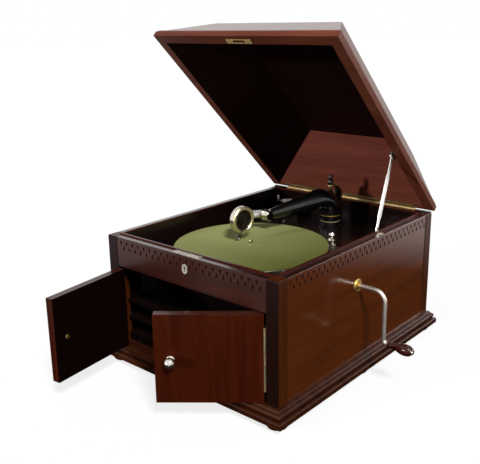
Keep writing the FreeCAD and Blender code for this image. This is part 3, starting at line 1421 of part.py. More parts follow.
bar = fuse("bar_whole",
           block("bar_stem", bar_x, about(0, bar_half), (-s.box_radius - 2, bar_half)),
           rod("bar_foot", bar_half, "x", (film_front, bar_x[1]), (0, 0)),
           rod("chuck", s.chuck_radius, "z", chuck_span, (bar_middle, 0)))
needle_radius = s.chuck_radius * 0.27
needle_top = -s.box_radius - 2
needle_hole = rod("needle_hole", needle_radius + s.running_fit, "z", (chuck_span[0] - 1, needle_top),
                  (bar_middle, 0))
screw_z = (chuck_span[0] + chuck_span[1]) / 2
thumb_radius = s.chuck_radius * 0.4
thumb_hole = rod("thumb_hole", thumb_radius + s.running_fit, "y", (-s.chuck_radius - 1, -needle_radius - 0.2),
                 (bar_middle, screw_z))


def leaning(item, name):
    return on_neck(swing(group(name + "_leaning", item), *box_at, X_AXIS, -s.needle_lean), name)


leaning(cut("bar_bored", bar, needle_hole, thumb_hole), "stylus_bar")
needle_low = -s.needle_reach
needle = fuse("needle_whole",
              rod("needle_shank", needle_radius, "z", (needle_low + 5, needle_top - s.slack),
                  (bar_middle, 0)),
              rod("needle_point", needle_radius * 0.1, "z", (needle_low, needle_low + 5), (bar_middle, 0),
                  needle_radius))
leaning(needle, "needle")
thumb = fuse("thumb_whole",
             rod("thumb_shank", thumb_radius, "y", (-s.chuck_radius - 3, -needle_radius - 0.5),
                 (bar_middle, screw_z)),
             rod("thumb_head", s.chuck_radius * 1.1, "y", (-s.chuck_radius - 6, -s.chuck_radius - 2),
                 (bar_middle, screw_z)))
leaning(thumb, "needle_screw")

# Brake by the turntable's edge: lever on a post, its padded foot and a domed knob
edge_y = root(s.platter_radius * s.platter_radius - s.brake_arm * s.brake_arm) - hub_to_brake
skirt_foot = s.platter_top - s.platter_skirt - board_z
pad_top = s.platter_top - board_z - s.platter_wall
pad_front = edge_y + s.slack + 2
lever_half = s.brake_knob_radius * 0.45
lever_top = 4
brake_knob = turned("brake_knob", [
    (0, s.slack),
    (s.brake_knob_radius, s.slack),
    (s.brake_knob_radius, s.brake_height * 0.4),
    (s.brake_knob_radius * 0.55, s.brake_height * 0.55),
    (s.brake_knob_radius * 0.55, s.brake_height * 0.65),
    (s.brake_knob_radius * 0.8, s.brake_height * 0.8),
    (s.brake_knob_radius * 0.5, s.brake_height * 0.95),
    (0, s.brake_height),
])
lever = fuse("brake_lever",
             brake_knob,
             rod("brake_post", brake_post_radius, "z", (-s.board_thickness, lever_top), (0, 0)),
             block("brake_arm", (0, s.brake_arm + lever_half), about(0, lever_half), (s.slack, lever_top)),
             block("brake_foot", about(s.brake_arm, lever_half), (pad_front, 0), (s.slack, skirt_foot + 2)),
             block("brake_shoe", about(s.brake_arm, lever_half), (pad_front, pad_front + lever_half),
                   (s.slack, pad_top)))
keep(swing(lever, brake_x, brake_y, board_z, Z_AXIS, s.brake_bearing - 90))

# Speed regulator: knob and shaft through the board, lever and pad on the governor's disc
knob_at = (regulator_x, regulator_y)
knob_foot = board_z + s.slack
regulator_knob = turned("regulator_knob", [
    (0, knob_foot),
    (s.regulator_radius, knob_foot),
    (s.regulator_radius, board_z + s.regulator_height * 0.3),
    (s.regulator_radius * 0.7, board_z + s.regulator_height * 0.45),
    (s.regulator_radius * 0.7, board_z + s.regulator_height * 0.85),
    (s.regulator_radius * 0.45, board_z + s.regulator_height),
    (0, board_z + s.regulator_height),
])
lever_z = (governor_z - 3, governor_z + 1)
pad_x = governor_x + s.disc_radius * 0.75
pad_face = disc_y - s.slack
lever_y = (pad_face - 8, pad_face - 4)
keep(fuse("speed_regulator",
          move(regulator_knob, *knob_at),
          rod("regulator_stem", regulator_shaft, "z", (lever_z[0], knob_foot + 1), knob_at),
          block("regulator_bar", (pad_x - 4, regulator_x), lever_y, lever_z),
          block("regulator_link", about(regulator_x, regulator_shaft),
                (regulator_y - regulator_shaft, lever_y[1]), lever_z),
          block("regulator_pad", about(pad_x, 4), (lever_y[1] - 1, pad_face), lever_z)))

doc.recompute()

# Nothing is written unless every object is sound
for item in doc.Objects:
    if "Invalid" in item.State or "Error" in item.State:
        raise RuntimeError(f"{item.Label} failed: {item.State}")
for item in nodes:
    if item.Shape.isNull() or not item.Shape.isValid() or not item.Shape.Solids:
        raise RuntimeError(f"{item.Label} has no sound solid")
os.makedirs("parts", exist_ok=True)
for item in nodes:
    item.Shape.exportStep(f"parts/{item.Label}.step")
print(len(nodes), "nodes")
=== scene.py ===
import json
import math

import bpy
from mathutils import Matrix, Vector

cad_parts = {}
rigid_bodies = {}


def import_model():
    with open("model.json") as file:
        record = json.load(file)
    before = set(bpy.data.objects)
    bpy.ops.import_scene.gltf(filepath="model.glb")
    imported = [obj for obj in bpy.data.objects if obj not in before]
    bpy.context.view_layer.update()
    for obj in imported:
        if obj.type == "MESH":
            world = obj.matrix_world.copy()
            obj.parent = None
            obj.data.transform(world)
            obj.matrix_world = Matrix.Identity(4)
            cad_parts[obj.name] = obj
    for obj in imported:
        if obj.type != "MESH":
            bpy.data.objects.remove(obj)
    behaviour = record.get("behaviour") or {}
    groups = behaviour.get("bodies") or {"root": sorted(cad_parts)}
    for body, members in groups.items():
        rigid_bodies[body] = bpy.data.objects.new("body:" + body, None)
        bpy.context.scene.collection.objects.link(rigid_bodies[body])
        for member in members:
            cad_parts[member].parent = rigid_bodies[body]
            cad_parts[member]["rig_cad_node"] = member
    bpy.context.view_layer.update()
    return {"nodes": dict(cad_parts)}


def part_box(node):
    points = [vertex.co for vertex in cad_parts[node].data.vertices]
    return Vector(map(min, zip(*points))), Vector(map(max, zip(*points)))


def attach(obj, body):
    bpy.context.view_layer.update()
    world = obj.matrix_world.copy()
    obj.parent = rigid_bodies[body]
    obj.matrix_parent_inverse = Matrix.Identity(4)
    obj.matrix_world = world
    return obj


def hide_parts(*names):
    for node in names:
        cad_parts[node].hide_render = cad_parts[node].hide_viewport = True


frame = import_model()
nodes = frame["nodes"]


# Feet and plinth
# A moulded mahogany plinth carries the case, with a turned foot under each corner and each mid side. The
# mouldings are run with shaped planes, mitred at the corners and glued.
def tint(code):
    """A colour written as sRGB hex, in the linear light that shaders use."""
    parts = [int(code[i:i + 2], 16) / 255 for i in (1, 3, 5)]
    return [*(p / 12.92 if p <= 0.04045 else ((p + 0.055) / 1.055) ** 2.4 for p in parts), 1]


def blank(name):
    """An empty material, ready for its nodes."""
    made = bpy.data.materials.new(name)
    made.use_nodes = True
    made.node_tree.nodes.clear()
    return made


def add(made, kind, sockets=None, **settings):
    """Add one shader node: settings on the node, then values and links on its sockets."""
    item = made.node_tree.nodes.new("ShaderNode" + kind)
    for name, value in settings.items():
        setattr(item, name, value)
    for name, value in (sockets or {}).items():
        if isinstance(value, bpy.types.NodeSocket):
            made.node_tree.links.new(value, item.inputs[name])
        else:
            item.inputs[name].default_value = value
    return item


PORES_PER_STREAK = 6
PORE_DEPTH = 0.0002
POLISH_IOR = 1.5


def wood(name, dark, light, streak, rough, shine=0.05, top_gloss=0.0, turn=0.0):
    """A stained wood under clear polish; streak is the length of its figure along x, y and z in metres.

    Shine is how much the polish mirrors, upward faces take top_gloss as a further coat of it, and turn tips
    the figure about x in degrees. Real pores are some 0.2 mm wide, too fine to show, and are drawn three or
    more times as wide.
    """
    made = blank(name)
    place = add(made, "TexCoord").outputs["Object"]
    level = add(made, "Mapping", {"Vector": place, "Rotation": (math.radians(turn), 0, 0)}).outputs[0]
    wide = add(made, "Mapping", {"Vector": level, "Scale": [1 / length for length in streak]})
    pore_scale = [PORES_PER_STREAK / length for length in streak]
    fine = add(made, "Mapping", {"Vector": level, "Scale": pore_scale})
    figure = add(made, "TexNoise", {"Vector": wide.outputs[0], "Scale": 1, "Detail": 5, "Distortion": 0.6})
    pores = add(made, "TexNoise", {"Vector": fine.outputs[0], "Scale": 1, "Detail": 3, "Roughness": 0.7})
    spread = add(made, "MapRange", {"Value": figure.outputs["Fac"], "From Min": 0.32, "From Max": 0.68})
    depth = add(made, "MapRange", {"Value": pores.outputs["Fac"], "From Min": 0.35, "From Max": 0.5,
                                   "To Min": 0.45})
    shade = add(made, "Mix", {0: spread.outputs[0], 6: tint(dark), 7: tint(light)}, data_type="RGBA")
    grain = add(made, "Mix", {0: depth.outputs[0], 6: tint(dark), 7: shade.outputs[2]}, data_type="RGBA")
    gloss = add(made, "MapRange", {"Value": pores.outputs["Fac"], "To Min": rough + 0.1, "To Max": rough})
    relief = add(made, "Bump", {"Height": pores.outputs["Fac"], "Strength": 0.08, "Distance": PORE_DEPTH})
    facing = add(made, "SeparateXYZ", {0: add(made, "NewGeometry").outputs["Normal"]})
    upward = add(made, "MapRange", {"Value": facing.outputs["Z"], "From Min": 0.9, "To Max": top_gloss})
    skin = add(made, "BsdfPrincipled", {
        "Base Color": grain.outputs[2], "Roughness": gloss.outputs[0], "Normal": relief.outputs[0],
        "IOR": POLISH_IOR, "Specular IOR Level": shine, "Coat Weight": upward.outputs[0],
        "Coat Roughness": 0.14})
    add(made, "OutputMaterial", {"Surface": skin.outputs[0]})
    return made


def dress(made, *names):
    """Give CAD nodes a material."""
    for name in names:
        nodes[name].data.materials.clear()
        nodes[name].data.materials.append(made)


WELD_GAP = 0.00001
SMOOTH_UNDER = math.radians(35)


def smooth(*names):
    """Shade the round faces of CAD nodes smoothly, with their sharp corners kept."""
    for name in names:
        weld = nodes[name].modifiers.new("weld", "WELD")
        weld.merge_threshold = WELD_GAP
        corners = nodes[name].modifiers.new("corners", "EDGE_SPLIT")
        corners.split_angle = SMOOTH_UNDER
        nodes[name].data.polygons.foreach_set("use_smooth", [True] * len(nodes[name].data.polygons))


# Mahogany under French polish: a red-brown striped figure under a thin clear skin that mirrors softly.
plinth_wood = wood("mahogany_french_polished_plinth", "#2c1006", "#43200d", (0.3, 0.02, 0.02), rough=0.25,
                   shine=0.1, top_gloss=0.6)
dress(plinth_wood, "plinth_moulding", "feet")
smooth("plinth_moulding", "feet")

# Case boards and posts
# Mahogany panels and the front rail are tongued into four corner posts. A band of chip carving runs under
# the rim on the front and both sides: two staggered rows of three-sided cuts, made with a skew chisel.
ARRIS_OVER = math.radians(40)


def ease(width, *names):
    """Round the arrises of CAD nodes: their loose triangles are welded, then bevelled by angle."""
    for name in names:
        weld = nodes[name].modifiers.new("weld", "WELD")
        weld.merge_threshold = WELD_GAP
        arris = nodes[name].modifiers.new("arris", "BEVEL")
        arris.width = width
        arris.segments = 2
        arris.limit_method = "ANGLE"
        arris.angle_limit = ARRIS_OVER


def overlay(made, mask, colour, metal_share, rough):
    """Lay another finish over the part of a piece that the mask covers."""
    skin = next(item for item in made.node_tree.nodes if item.type == "BSDF_PRINCIPLED")
    for name, value in (("Metallic", metal_share), ("Roughness", rough)):
        links = skin.inputs[name].links
        under = links[0].from_socket if links else skin.inputs[name].default_value
        both = add(made, "Mix", {0: mask, 2: under, 3: value})
        made.node_tree.links.new(both.outputs[0], skin.inputs[name])
    under = skin.inputs["Base Color"].links[0].from_socket
    both = add(made, "Mix", {0: mask, 6: under, 7: tint(colour)}, data_type="RGBA")
    made.node_tree.links.new(both.outputs[2], skin.inputs["Base Color"])


SHADE_SKIN = 0.0015
SHADE_ROUGH = 0.3


def paint_shade_on_face(made, node, inward, colour):
    """Darken the face of a board that lies farthest along inward, as painted shade."""
    deepest = max(Vector(inward).dot(corner.co) for corner in nodes[node].data.vertices)
    place = add(made, "TexCoord").outputs["Object"]
    depth = add(made, "VectorMath", {0: place, 1: inward}, operation="DOT_PRODUCT").outputs["Value"]
    mask = add(made, "Math", {0: depth, 1: deepest - SHADE_SKIN}, operation="GREATER_THAN").outputs[0]
    overlay(made, mask, colour, 0, SHADE_ROUGH)


def height_band(made, middle, half):
    """A mask over the part of a piece between two heights."""
    place = add(made, "TexCoord").outputs["Object"]
    height = add(made, "SeparateXYZ", {0: place}).outputs["Z"]
    return add(made, "Math", {0: height, 1: middle, 2: half}, operation="COMPARE").outputs[0]


INSIDE_PAINTED_SHADE = "#130606"
# The tops of the rim are painted darker than the boards, as painted shade.
RIM_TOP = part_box("right_side_panel")[1][2]
RIM_SKIN = 0.0009
RIM_TOP_PAINTED_SHADE = "#2b120c"
RIM_ROUGH = 0.25
BOARD_ARRIS = 0.0008

# The sides have the deepest polish and mirror what stands by them; their inside faces are painted dark, as
# painted shade.
for board, inward in (("left_side_panel", (1, 0, 0)), ("right_side_panel", (-1, 0, 0))):
    side_wood = wood("mahogany_french_polished_" + board, "#512306", "#5f2b08", (0.02, 0.3, 0.02),
                     rough=0.1, shine=0.55, top_gloss=0.6)
    dress(side_wood, board)
    paint_shade_on_face(side_wood, board, inward, INSIDE_PAINTED_SHADE)
    overlay(side_wood, height_band(side_wood, RIM_TOP, RIM_SKIN), RIM_TOP_PAINTED_SHADE, 0, RIM_ROUGH)

# The front is painted darker than the sides, as painted shade, and has less polish, so its gloss is duller.
front_wood = wood("mahogany_french_polished_front", "#2a0e07", "#40190d", (0.3, 0.02, 0.02), rough=0.25,
                  shine=0.35, top_gloss=0.6)
# The front's rim top takes the same painted shade.
overlay(front_wood, height_band(front_wood, RIM_TOP, RIM_SKIN), RIM_TOP_PAINTED_SHADE, 0, RIM_ROUGH)
dress(front_wood, "front_rail")

# The back and the posts have a thinner polish: plain brown, and they mirror little.
back_wood = wood("mahogany_french_polished_back", "#431504", "#5a2709", (0.3, 0.02, 0.02), rough=0.25)
dress(back_wood, "back_panel")
# The back's inside face is painted nearly black, as painted shade.
paint_shade_on_face(back_wood, "back_panel", (0, -1, 0), INSIDE_PAINTED_SHADE)
post_wood = wood("mahogany_french_polished_posts", "#3a1906", "#4c240b", (0.02, 0.02, 0.3), rough=0.25,
                 shine=0.1, top_gloss=0.1)
dress(post_wood, "corner_posts")
# The front faces of the front posts are painted darker, as painted shade.
paint_shade_on_face(post_wood, "corner_posts", (0, -1, 0), "#1c0b08")
ease(BOARD_ARRIS, "corner_posts", "back_panel")

# Cut faces drink the stain: near black and matt, with a short end grain.
cut_wood = wood("mahogany_cut_darkened", "#1d0a06", "#35160d", (0.004, 0.004, 0.02), rough=0.5)
CHIP_STEP = 0.016
CHIP_HEIGHTS = (0.2500, 0.2400)
CHISEL_RADIUS = 0.0060
CHISEL_DEPTH = 0.003
CHISEL_SET_IN = 0.0009
CHISEL_SHAPE = (0.85, 1.5, 1)
CARVED_ARRIS = 0.0005


def finish_with(piece, kind, **settings):
    """Add one modifier to a piece and apply it."""
    bpy.context.view_layer.objects.active = piece
    made = piece.modifiers.new(kind.lower(), kind)
    for name, value in settings.items():
        setattr(made, name, value)
    bpy.ops.object.modifier_apply(modifier=made.name)


def chisel(along, face, height, half_turn):
    """One three-sided cutter, its point 2.4 mm inside the face of a front board."""
    bpy.ops.mesh.primitive_cone_add(vertices=3, radius1=CHISEL_RADIUS, radius2=0, depth=CHISEL_DEPTH,
                                    location=(along, face + CHISEL_SET_IN, height),
                                    rotation=(-math.pi / 2, half_turn, 0))
    bpy.context.object.scale = CHISEL_SHAPE
    bpy.context.object.data.materials.append(cut_wood)
    bpy.ops.object.transform_apply(location=False, rotation=True, scale=True)
    return bpy.context.object


def carve(node, turn, face, first, count):
    """Cut the carved band into a copy of a case board, which then stands for the node.

    The cutters are set out as for a front board with its face at this y, then turned about z to the board.
    """
    bpy.ops.object.select_all(action="DESELECT")
    board = nodes[node].copy()
    board.data = nodes[node].data.copy()
    board.name = node + "_carved"
    bpy.context.scene.collection.objects.link(board)
    del board["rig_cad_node"]
    board.parent = None
    board.matrix_world = Matrix.Identity(4)
    finish_with(board, "WELD", merge_threshold=WELD_GAP)
    finish_with(board, "BEVEL", width=CARVED_ARRIS, segments=2, limit_method="ANGLE",
                angle_limit=ARRIS_OVER)
    bpy.ops.object.select_all(action="DESELECT")
    upper = chisel(first, face, CHIP_HEIGHTS[0], 0)
    lower = chisel(first + CHIP_STEP / 2, face, CHIP_HEIGHTS[1], math.pi)
    upper.select_set(True)
    lower.select_set(True)
    bpy.context.view_layer.objects.active = upper
    bpy.ops.object.join()
    bpy.ops.object.transform_apply(location=True)
    finish_with(upper, "ARRAY", count=count, use_relative_offset=False, use_constant_offset=True,
                constant_offset_displace=(CHIP_STEP, 0, 0))
    upper.rotation_euler = (0, 0, turn)
    bpy.ops.object.transform_apply(rotation=True)
    finish_with(board, "BOOLEAN", object=upper, operation="DIFFERENCE", solver="EXACT",
                material_mode="TRANSFER")
    bpy.data.objects.remove(upper)
    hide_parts(node)
    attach(board, "case")


FRONT_FACE = -0.2597
SIDE_FACE = -0.2077
carve("front_rail", 0, FRONT_FACE, first=-0.172, count=22)
carve("right_side_panel", math.pi / 2, SIDE_FACE, first=-0.2268, count=29)
carve("left_side_panel", -math.pi / 2, SIDE_FACE, first=-0.2268, count=29)

# Rim bead and buffer
# A half-round bead of redder mahogany is planted round the inner edge of the rim, and a bone plug let
# into the right rim takes the knock of the shutting lid.

# Polish on a small round gives the bead one thin line of light.
bead_wood = wood("mahogany_bead_polished", "#3a120a", "#54200f", (0.3, 0.3, 0.02), rough=0.2, shine=0.1,
                 top_gloss=0.3)
dress(bead_wood, "rim_bead")
smooth("rim_bead")


TURNED_SIDES = 40
TURNED_SMOOTH_UNDER = math.radians(40)


def turned(name, place, steps, finish, body):
    """Turn a round piece on z: a disc drawn up through steps of radius and height, as on a lathe."""
    bpy.ops.object.select_all(action="DESELECT")
    low = steps[0]
    bpy.ops.mesh.primitive_circle_add(vertices=TURNED_SIDES, radius=low[0], fill_type="NGON",
                                      location=(place[0], place[1], place[2] + low[1]))
    made = bpy.context.object
    made.name = name
    bpy.ops.object.mode_set(mode="EDIT")
    bpy.ops.mesh.select_all(action="SELECT")
    for before, after in zip(steps, steps[1:]):
        bpy.ops.mesh.extrude_region_move(TRANSFORM_OT_translate={"value": (0, 0, after[1] - before[1])})
        share = after[0] / before[0]
        bpy.ops.transform.resize(value=(share, share, 1), center_override=place)
    bpy.ops.mesh.select_all(action="SELECT")
    bpy.ops.mesh.fill_holes(sides=0)
    bpy.ops.mesh.normals_make_consistent(inside=False)
    bpy.ops.object.mode_set(mode="OBJECT")
    bpy.ops.object.transform_apply(location=True)
    bpy.ops.object.shade_smooth_by_angle(angle=TURNED_SMOOTH_UNDER)
    made.data.materials.append(finish)
    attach(made, body)


# Turned bone is cream with short fine streaks and takes a low polish.
bone = wood("bone_turned", "#b9a98c", "#d8ccb4", (0.004, 0.02, 0.004), rough=0.3, shine=0.3)
BUFFER_PLACE = (0.2, 0.066, RIM_TOP)
turned("rim_buffer", BUFFER_PLACE, [(0.0055, -0.0006), (0.0055, 0.0002), (0.0047, 0.0006), (0.003, 0.0008)],
       bone, "case")

# Boards inside
# The motor board rests on bearers and lifts out. The bottom board closes the case below the horn. All are
# stained nearly black and polished, so they show mostly what they mirror.
stained = wood("mahogany_stained_dark", "#0b0403", "#160a07", (0.25, 0.02, 0.02), rough=0.18, shine=0.2,
               top_gloss=0.1)
dress(stained, "motor_board", "board_bearers", "bottom_board")
THIN_BOARD_ARRIS = 0.0006
ease(THIN_BOARD_ARRIS, "motor_board")

# Horn, throat and louvres
# The horn is built of thin whitewood boards behind the doors, stained black, with slats across its mouth.
# A cast iron throat, brushed with dull black paint, leads up from it to the tone arm.

# Stained whitewood is a dull black with hardly any grain to see.
mouth = wood("whitewood_stained_black", "#0b0505", "#170c09", (0.25, 0.02, 0.02), rough=0.35, shine=0.1)
dress(mouth, "horn", "louvre_slats")
ease(THIN_BOARD_ARRIS, "louvre_slats")


def paint(name, dark, light, patch, rough, coat):
    """A stoved or brushed paint with slight clouds of this patch size in metres."""
    made = blank(name)
    place = add(made, "TexCoord").outputs["Object"]
    clouds = add(made, "TexNoise", {"Vector": place, "Scale": 1 / patch, "Detail": 4})
    shade = add(made, "Mix", {0: clouds.outputs["Fac"], 6: tint(dark), 7: tint(light)}, data_type="RGBA")
    relief = add(made, "Bump", {"Height": clouds.outputs["Fac"], "Strength": 0.05, "Distance": 0.0003})
    skin = add(made, "BsdfPrincipled", {
        "Base Color": shade.outputs[2], "Normal": relief.outputs[0], "Roughness": rough, "IOR": POLISH_IOR,
        "Coat Weight": coat, "Coat Roughness": 0.08})
    add(made, "OutputMaterial", {"Surface": skin.outputs[0]})
    return made


# Painted cast iron is charcoal and matt, and the casting's sand skin shows as slight clouds.
iron = paint("cast_iron_painted", "#1d1c1b", "#2b2826", patch=0.006, rough=0.5, coat=0)
dress(iron, "horn_throat", "motor_frame")
smooth("horn_throat", "motor_frame", "horn")


# Spring motor
# A painted iron bedplate on pillars hangs under the board and carries a brass spring barrel, cut brass
# wheels on steel arbors and a governor with three weights on leaf springs.
def metal(name, bright, dull, patch, rough, share=1.0):
    """A metal with clouds of tarnish of this patch size in metres; a frosted one mirrors only a share."""
    made = blank(name)
    place = add(made, "TexCoord").outputs["Object"]
    clouds = add(made, "TexNoise", {"Vector": place, "Scale": 1 / patch, "Detail": 4, "Roughness": 0.6})
    spread = add(made, "MapRange", {"Value": clouds.outputs["Fac"], "From Min": 0.4, "From Max": 0.75})
    shade = add(made, "Mix", {0: spread.outputs[0], 6: tint(bright), 7: tint(dull)}, data_type="RGBA")
    gloss = add(made, "MapRange", {"Value": clouds.outputs["Fac"], "To Min": rough, "To Max": rough + 0.2})
    skin = add(made, "BsdfPrincipled", {
        "Base Color": shade.outputs[2], "Roughness": gloss.outputs[0], "Metallic": share})
    add(made, "OutputMaterial", {"Surface": skin.outputs[0]})
    return made


# Aged brass is warm yellow that browns in clouds, with a soft glint; turned steel is a brighter grey.
brass = metal("brass_aged", "#cbab62", "#8a6c34", patch=0.01, rough=0.34)
steel = metal("steel_turned", "#b5b3ae", "#6f6b65", patch=0.008, rough=0.25)
dress(brass, "middle_arbor", "spring_barrel", "winding_arbor")
dress(steel, "governor", "winding_shaft")
smooth("middle_arbor", "spring_barrel", "winding_arbor", "governor", "winding_shaft")

# Turntable
# A pressed platter with a nickelled edge turns on the nickelled spindle. A disc of olive wool felt is
# glued on it, painted lighter on the left and darker on the right as painted light and shade.

# Polished nickel plate is a warm mirror, slightly yellowed where it has tarnished.
nickel = metal("nickel_plate_polished", "#e2ddd2", "#b8b0a2", patch=0.012, rough=0.08)
dress(nickel, "spindle", "platter")

# Felt is matt and even, and its nap breaks up the light. Its fibres are finer than a tenth of a
# millimetre; the nap is drawn in tufts of 1.6 mm, so that it shows.
NAP = 0.0016
FADE_PATCH = 0.09
LIT_SIDE_X = -0.12
SHADED_SIDE_X = 0.14
# The felt is painted lighter on the left and darker on the right: painted light and shade.
felt = blank("wool_felt_olive")
felt_place = add(felt, "TexCoord").outputs["Object"]
side_to_side = add(felt, "SeparateXYZ", {0: felt_place}).outputs["X"]
felt_light_to_shade = add(felt, "MapRange", {"Value": side_to_side, "From Min": LIT_SIDE_X, "From Max": SHADED_SIDE_X})
fade = add(felt, "TexNoise", {"Vector": felt_place, "Scale": 1 / FADE_PATCH, "Detail": 4})
nap = add(felt, "TexNoise", {"Vector": felt_place, "Scale": 1 / NAP, "Detail": 2})
patches = add(felt, "MapRange", {"Value": fade.outputs["Fac"], "To Max": 0.4})
hollows = add(felt, "MapRange", {"Value": nap.outputs["Fac"], "To Max": 0.4})
felt_lit_or_shaded = add(felt, "Mix", {0: felt_light_to_shade.outputs[0], 6: tint("#aeb375"), 7: tint("#4f5214")}, data_type="RGBA")
faded = add(felt, "Mix", {0: patches.outputs[0], 6: felt_lit_or_shaded.outputs[2], 7: tint("#7d813a")}, data_type="RGBA")
fibre = add(felt, "Mix", {0: hollows.outputs[0], 6: faded.outputs[2], 7: tint("#666a2a")}, data_type="RGBA")
pile = add(felt, "Bump", {"Height": nap.outputs["Fac"], "Strength": 0.3, "Distance": 0.0006})
cloth = add(felt, "BsdfPrincipled", {
    "Base Color": fibre.outputs[2], "Normal": pile.outputs[0], "Roughness": 0.95, "Sheen Weight": 0.05,
    "Specular IOR Level": 0.1})
add(felt, "OutputMaterial", {"Surface": cloth.outputs[0]})
dress(felt, "turntable_felt")
smooth("spindle", "platter", "turntable_felt")

# Winding crank
# A bent nickelled rod passes a brass escutcheon in the right side. Its handle is turned beech and spins
# on the rod's end.

# Worn nickel has a soft grey sheen and no sharp mirror; stained beech is dark red and close-grained.
worn_nickel = metal("nickel_plate_worn", "#e0dad0", "#aaa296", patch=0.008, rough=0.3)
stained_beech = wood("beech_stained_polished", "#2a0d0a", "#4a1a12", (0.05, 0.004, 0.004), rough=0.2,
                     shine=0.3, top_gloss=0.4)
dress(worn_nickel, "crank_rod")
dress(brass, "crank_escutcheon")
dress(stained_beech, "crank_handle")
smooth("crank_rod", "crank_escutcheon", "crank_handle")

# Brake and regulator
# Levers of nickelled steel are pivoted on the motor board: the brake swings against the platter's edge,
# the regulator sets the speed through the board.
dress(nickel, "brake_lever", "speed_regulator")
smooth("brake_lever", "speed_regulator")

# Needle shelf
# A dark stained shelf, fixed in the left rear corner, holds a pressed nickel cup for needles and a small
# turned stud with a ball head.
dress(stained, "needle_shelf")
ease(THIN_BOARD_ARRIS, "needle_shelf")

# Satin nickel is nearly white, and its fine brushing spreads what it mirrors.
satin_nickel = metal("nickel_plate_satin", "#f4f1ec", "#d2ccc2", patch=0.012, rough=0.3)
dress(satin_nickel, "needle_cup")
smooth("needle_cup")
STUD_PLACE = (-0.172, 0.226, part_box("needle_shelf")[1][2])
turned("shelf_stud", STUD_PLACE, [
    (0.0042, -0.0005), (0.0042, 0.0006), (0.003, 0.0012), (0.0016, 0.0016), (0.0016, 0.003),
    (0.0029, 0.0042), (0.0034, 0.0058), (0.003, 0.0074), (0.0018, 0.0086), (0.0006, 0.009)],
       satin_nickel, "case")

# Tone arm
# Base, elbow with its tapered tube, bracket and finial screw are castings stoved with black enamel and
# lined with gold. The arm's end is a nickelled barrel with a dark screw, the finial's stem bare brass.

# Stoved enamel is deep black with a hard clear gloss; gold paint on it is yellow and part metallic.
enamels = {}
for piece in ("tonearm", "tonearm_base", "pivot_bracket", "pivot_finial"):
    enamels[piece] = paint("black_enamel_stoved_" + piece, "#060505", "#120e0d", patch=0.01, rough=0.22,
                           coat=0.25)
    dress(enamels[piece], piece)
    smooth(piece)

GOLD = "#dcb45a"
GOLD_SHARE = 0.7
GOLD_ROUGH = 0.35
STRIPE_HALF = 0.001
ELBOW_STRIPE = 0.2462
BASE_STRIPE = 0.2326
STEM_MIDDLE = 0.3
STEM_HALF = 0.0125
elbow_stripe = height_band(enamels["tonearm"], ELBOW_STRIPE, STRIPE_HALF)
base_stripe = height_band(enamels["tonearm_base"], BASE_STRIPE, STRIPE_HALF)
finial_stem = height_band(enamels["pivot_finial"], STEM_MIDDLE, STEM_HALF)
overlay(enamels["tonearm"], elbow_stripe, GOLD, GOLD_SHARE, GOLD_ROUGH)
overlay(enamels["tonearm_base"], base_stripe, "#d9c9a0", GOLD_SHARE, GOLD_ROUGH)
overlay(enamels["pivot_finial"], finial_stem, "#b08a48", 1, 0.3)

# The end barrel is bare nickel as far as it reaches round the neck's axis, and its cap is dark steel.
ARM_END = (-0.03933, 0.0200, 0.26557)
NECK_AXIS = (0.9945, -0.1045, 0)
BARREL_REACH = 0.0142
CAP_FROM = 0.0085
arm_enamel = enamels["tonearm"]
arm_place = add(arm_enamel, "TexCoord").outputs["Object"]
from_end = add(arm_enamel, "VectorMath", {0: arm_place, 1: ARM_END}, operation="SUBTRACT").outputs[0]
distance = add(arm_enamel, "VectorMath", {0: from_end}, operation="LENGTH").outputs["Value"]
near_end = add(arm_enamel, "Math", {0: distance, 1: BARREL_REACH}, operation="LESS_THAN").outputs[0]
overlay(arm_enamel, near_end, "#ddd7ca", 1, 0.12)
along = add(arm_enamel, "VectorMath", {0: from_end, 1: NECK_AXIS}, operation="DOT_PRODUCT").outputs["Value"]
cap = add(arm_enamel, "Math", {0: along, 1: CAP_FROM}, operation="GREATER_THAN").outputs[0]
cap_only = add(arm_enamel, "Math", {0: cap, 1: near_end}, operation="MULTIPLY").outputs[0]
overlay(arm_enamel, cap_only, "#2a2623", 1, 0.3)

# A gold line follows the bracket's arch, at one reach from its bend's centre and straight down its leg.
BEND_BACK = 0.1735
BEND_HEIGHT = 0.279
LINE_REACH = 0.0304
LINE_HALF = 0.0012
LINE_FOOT = 0.250
arch = enamels["pivot_bracket"]
arch_place = add(arch, "SeparateXYZ", {0: add(arch, "TexCoord").outputs["Object"]})
behind = add(arch, "Math", {0: arch_place.outputs["Y"], 1: BEND_BACK}, operation="SUBTRACT")
above = add(arch, "Math", {0: arch_place.outputs["Z"], 1: BEND_HEIGHT}, operation="SUBTRACT")
back_part = add(arch, "Math", {0: behind.outputs[0], 1: 0}, operation="MAXIMUM")
top_part = add(arch, "Math", {0: above.outputs[0], 1: 0}, operation="MAXIMUM")
spot = add(arch, "CombineXYZ", {0: back_part.outputs[0], 1: top_part.outputs[0]})
reach = add(arch, "VectorMath", {0: spot.outputs[0]}, operation="LENGTH").outputs["Value"]
on_line = add(arch, "Math", {0: reach, 1: LINE_REACH, 2: LINE_HALF}, operation="COMPARE").outputs[0]
high = add(arch, "Math", {0: arch_place.outputs["Z"], 1: LINE_FOOT}, operation="GREATER_THAN").outputs[0]
gold_line = add(arch, "Math", {0: on_line, 1: high}, operation="MULTIPLY").outputs[0]
overlay(arch, gold_line, GOLD, GOLD_SHARE, GOLD_ROUGH)

# Gooseneck and sound box
# The swan-necked tube is nickelled brass and throws back on the arm's end. The sound box has a nickel
# shell, a pale brass front ring and a mica diaphragm, with the stylus bar, its thumb screw and a steel
# needle in front.

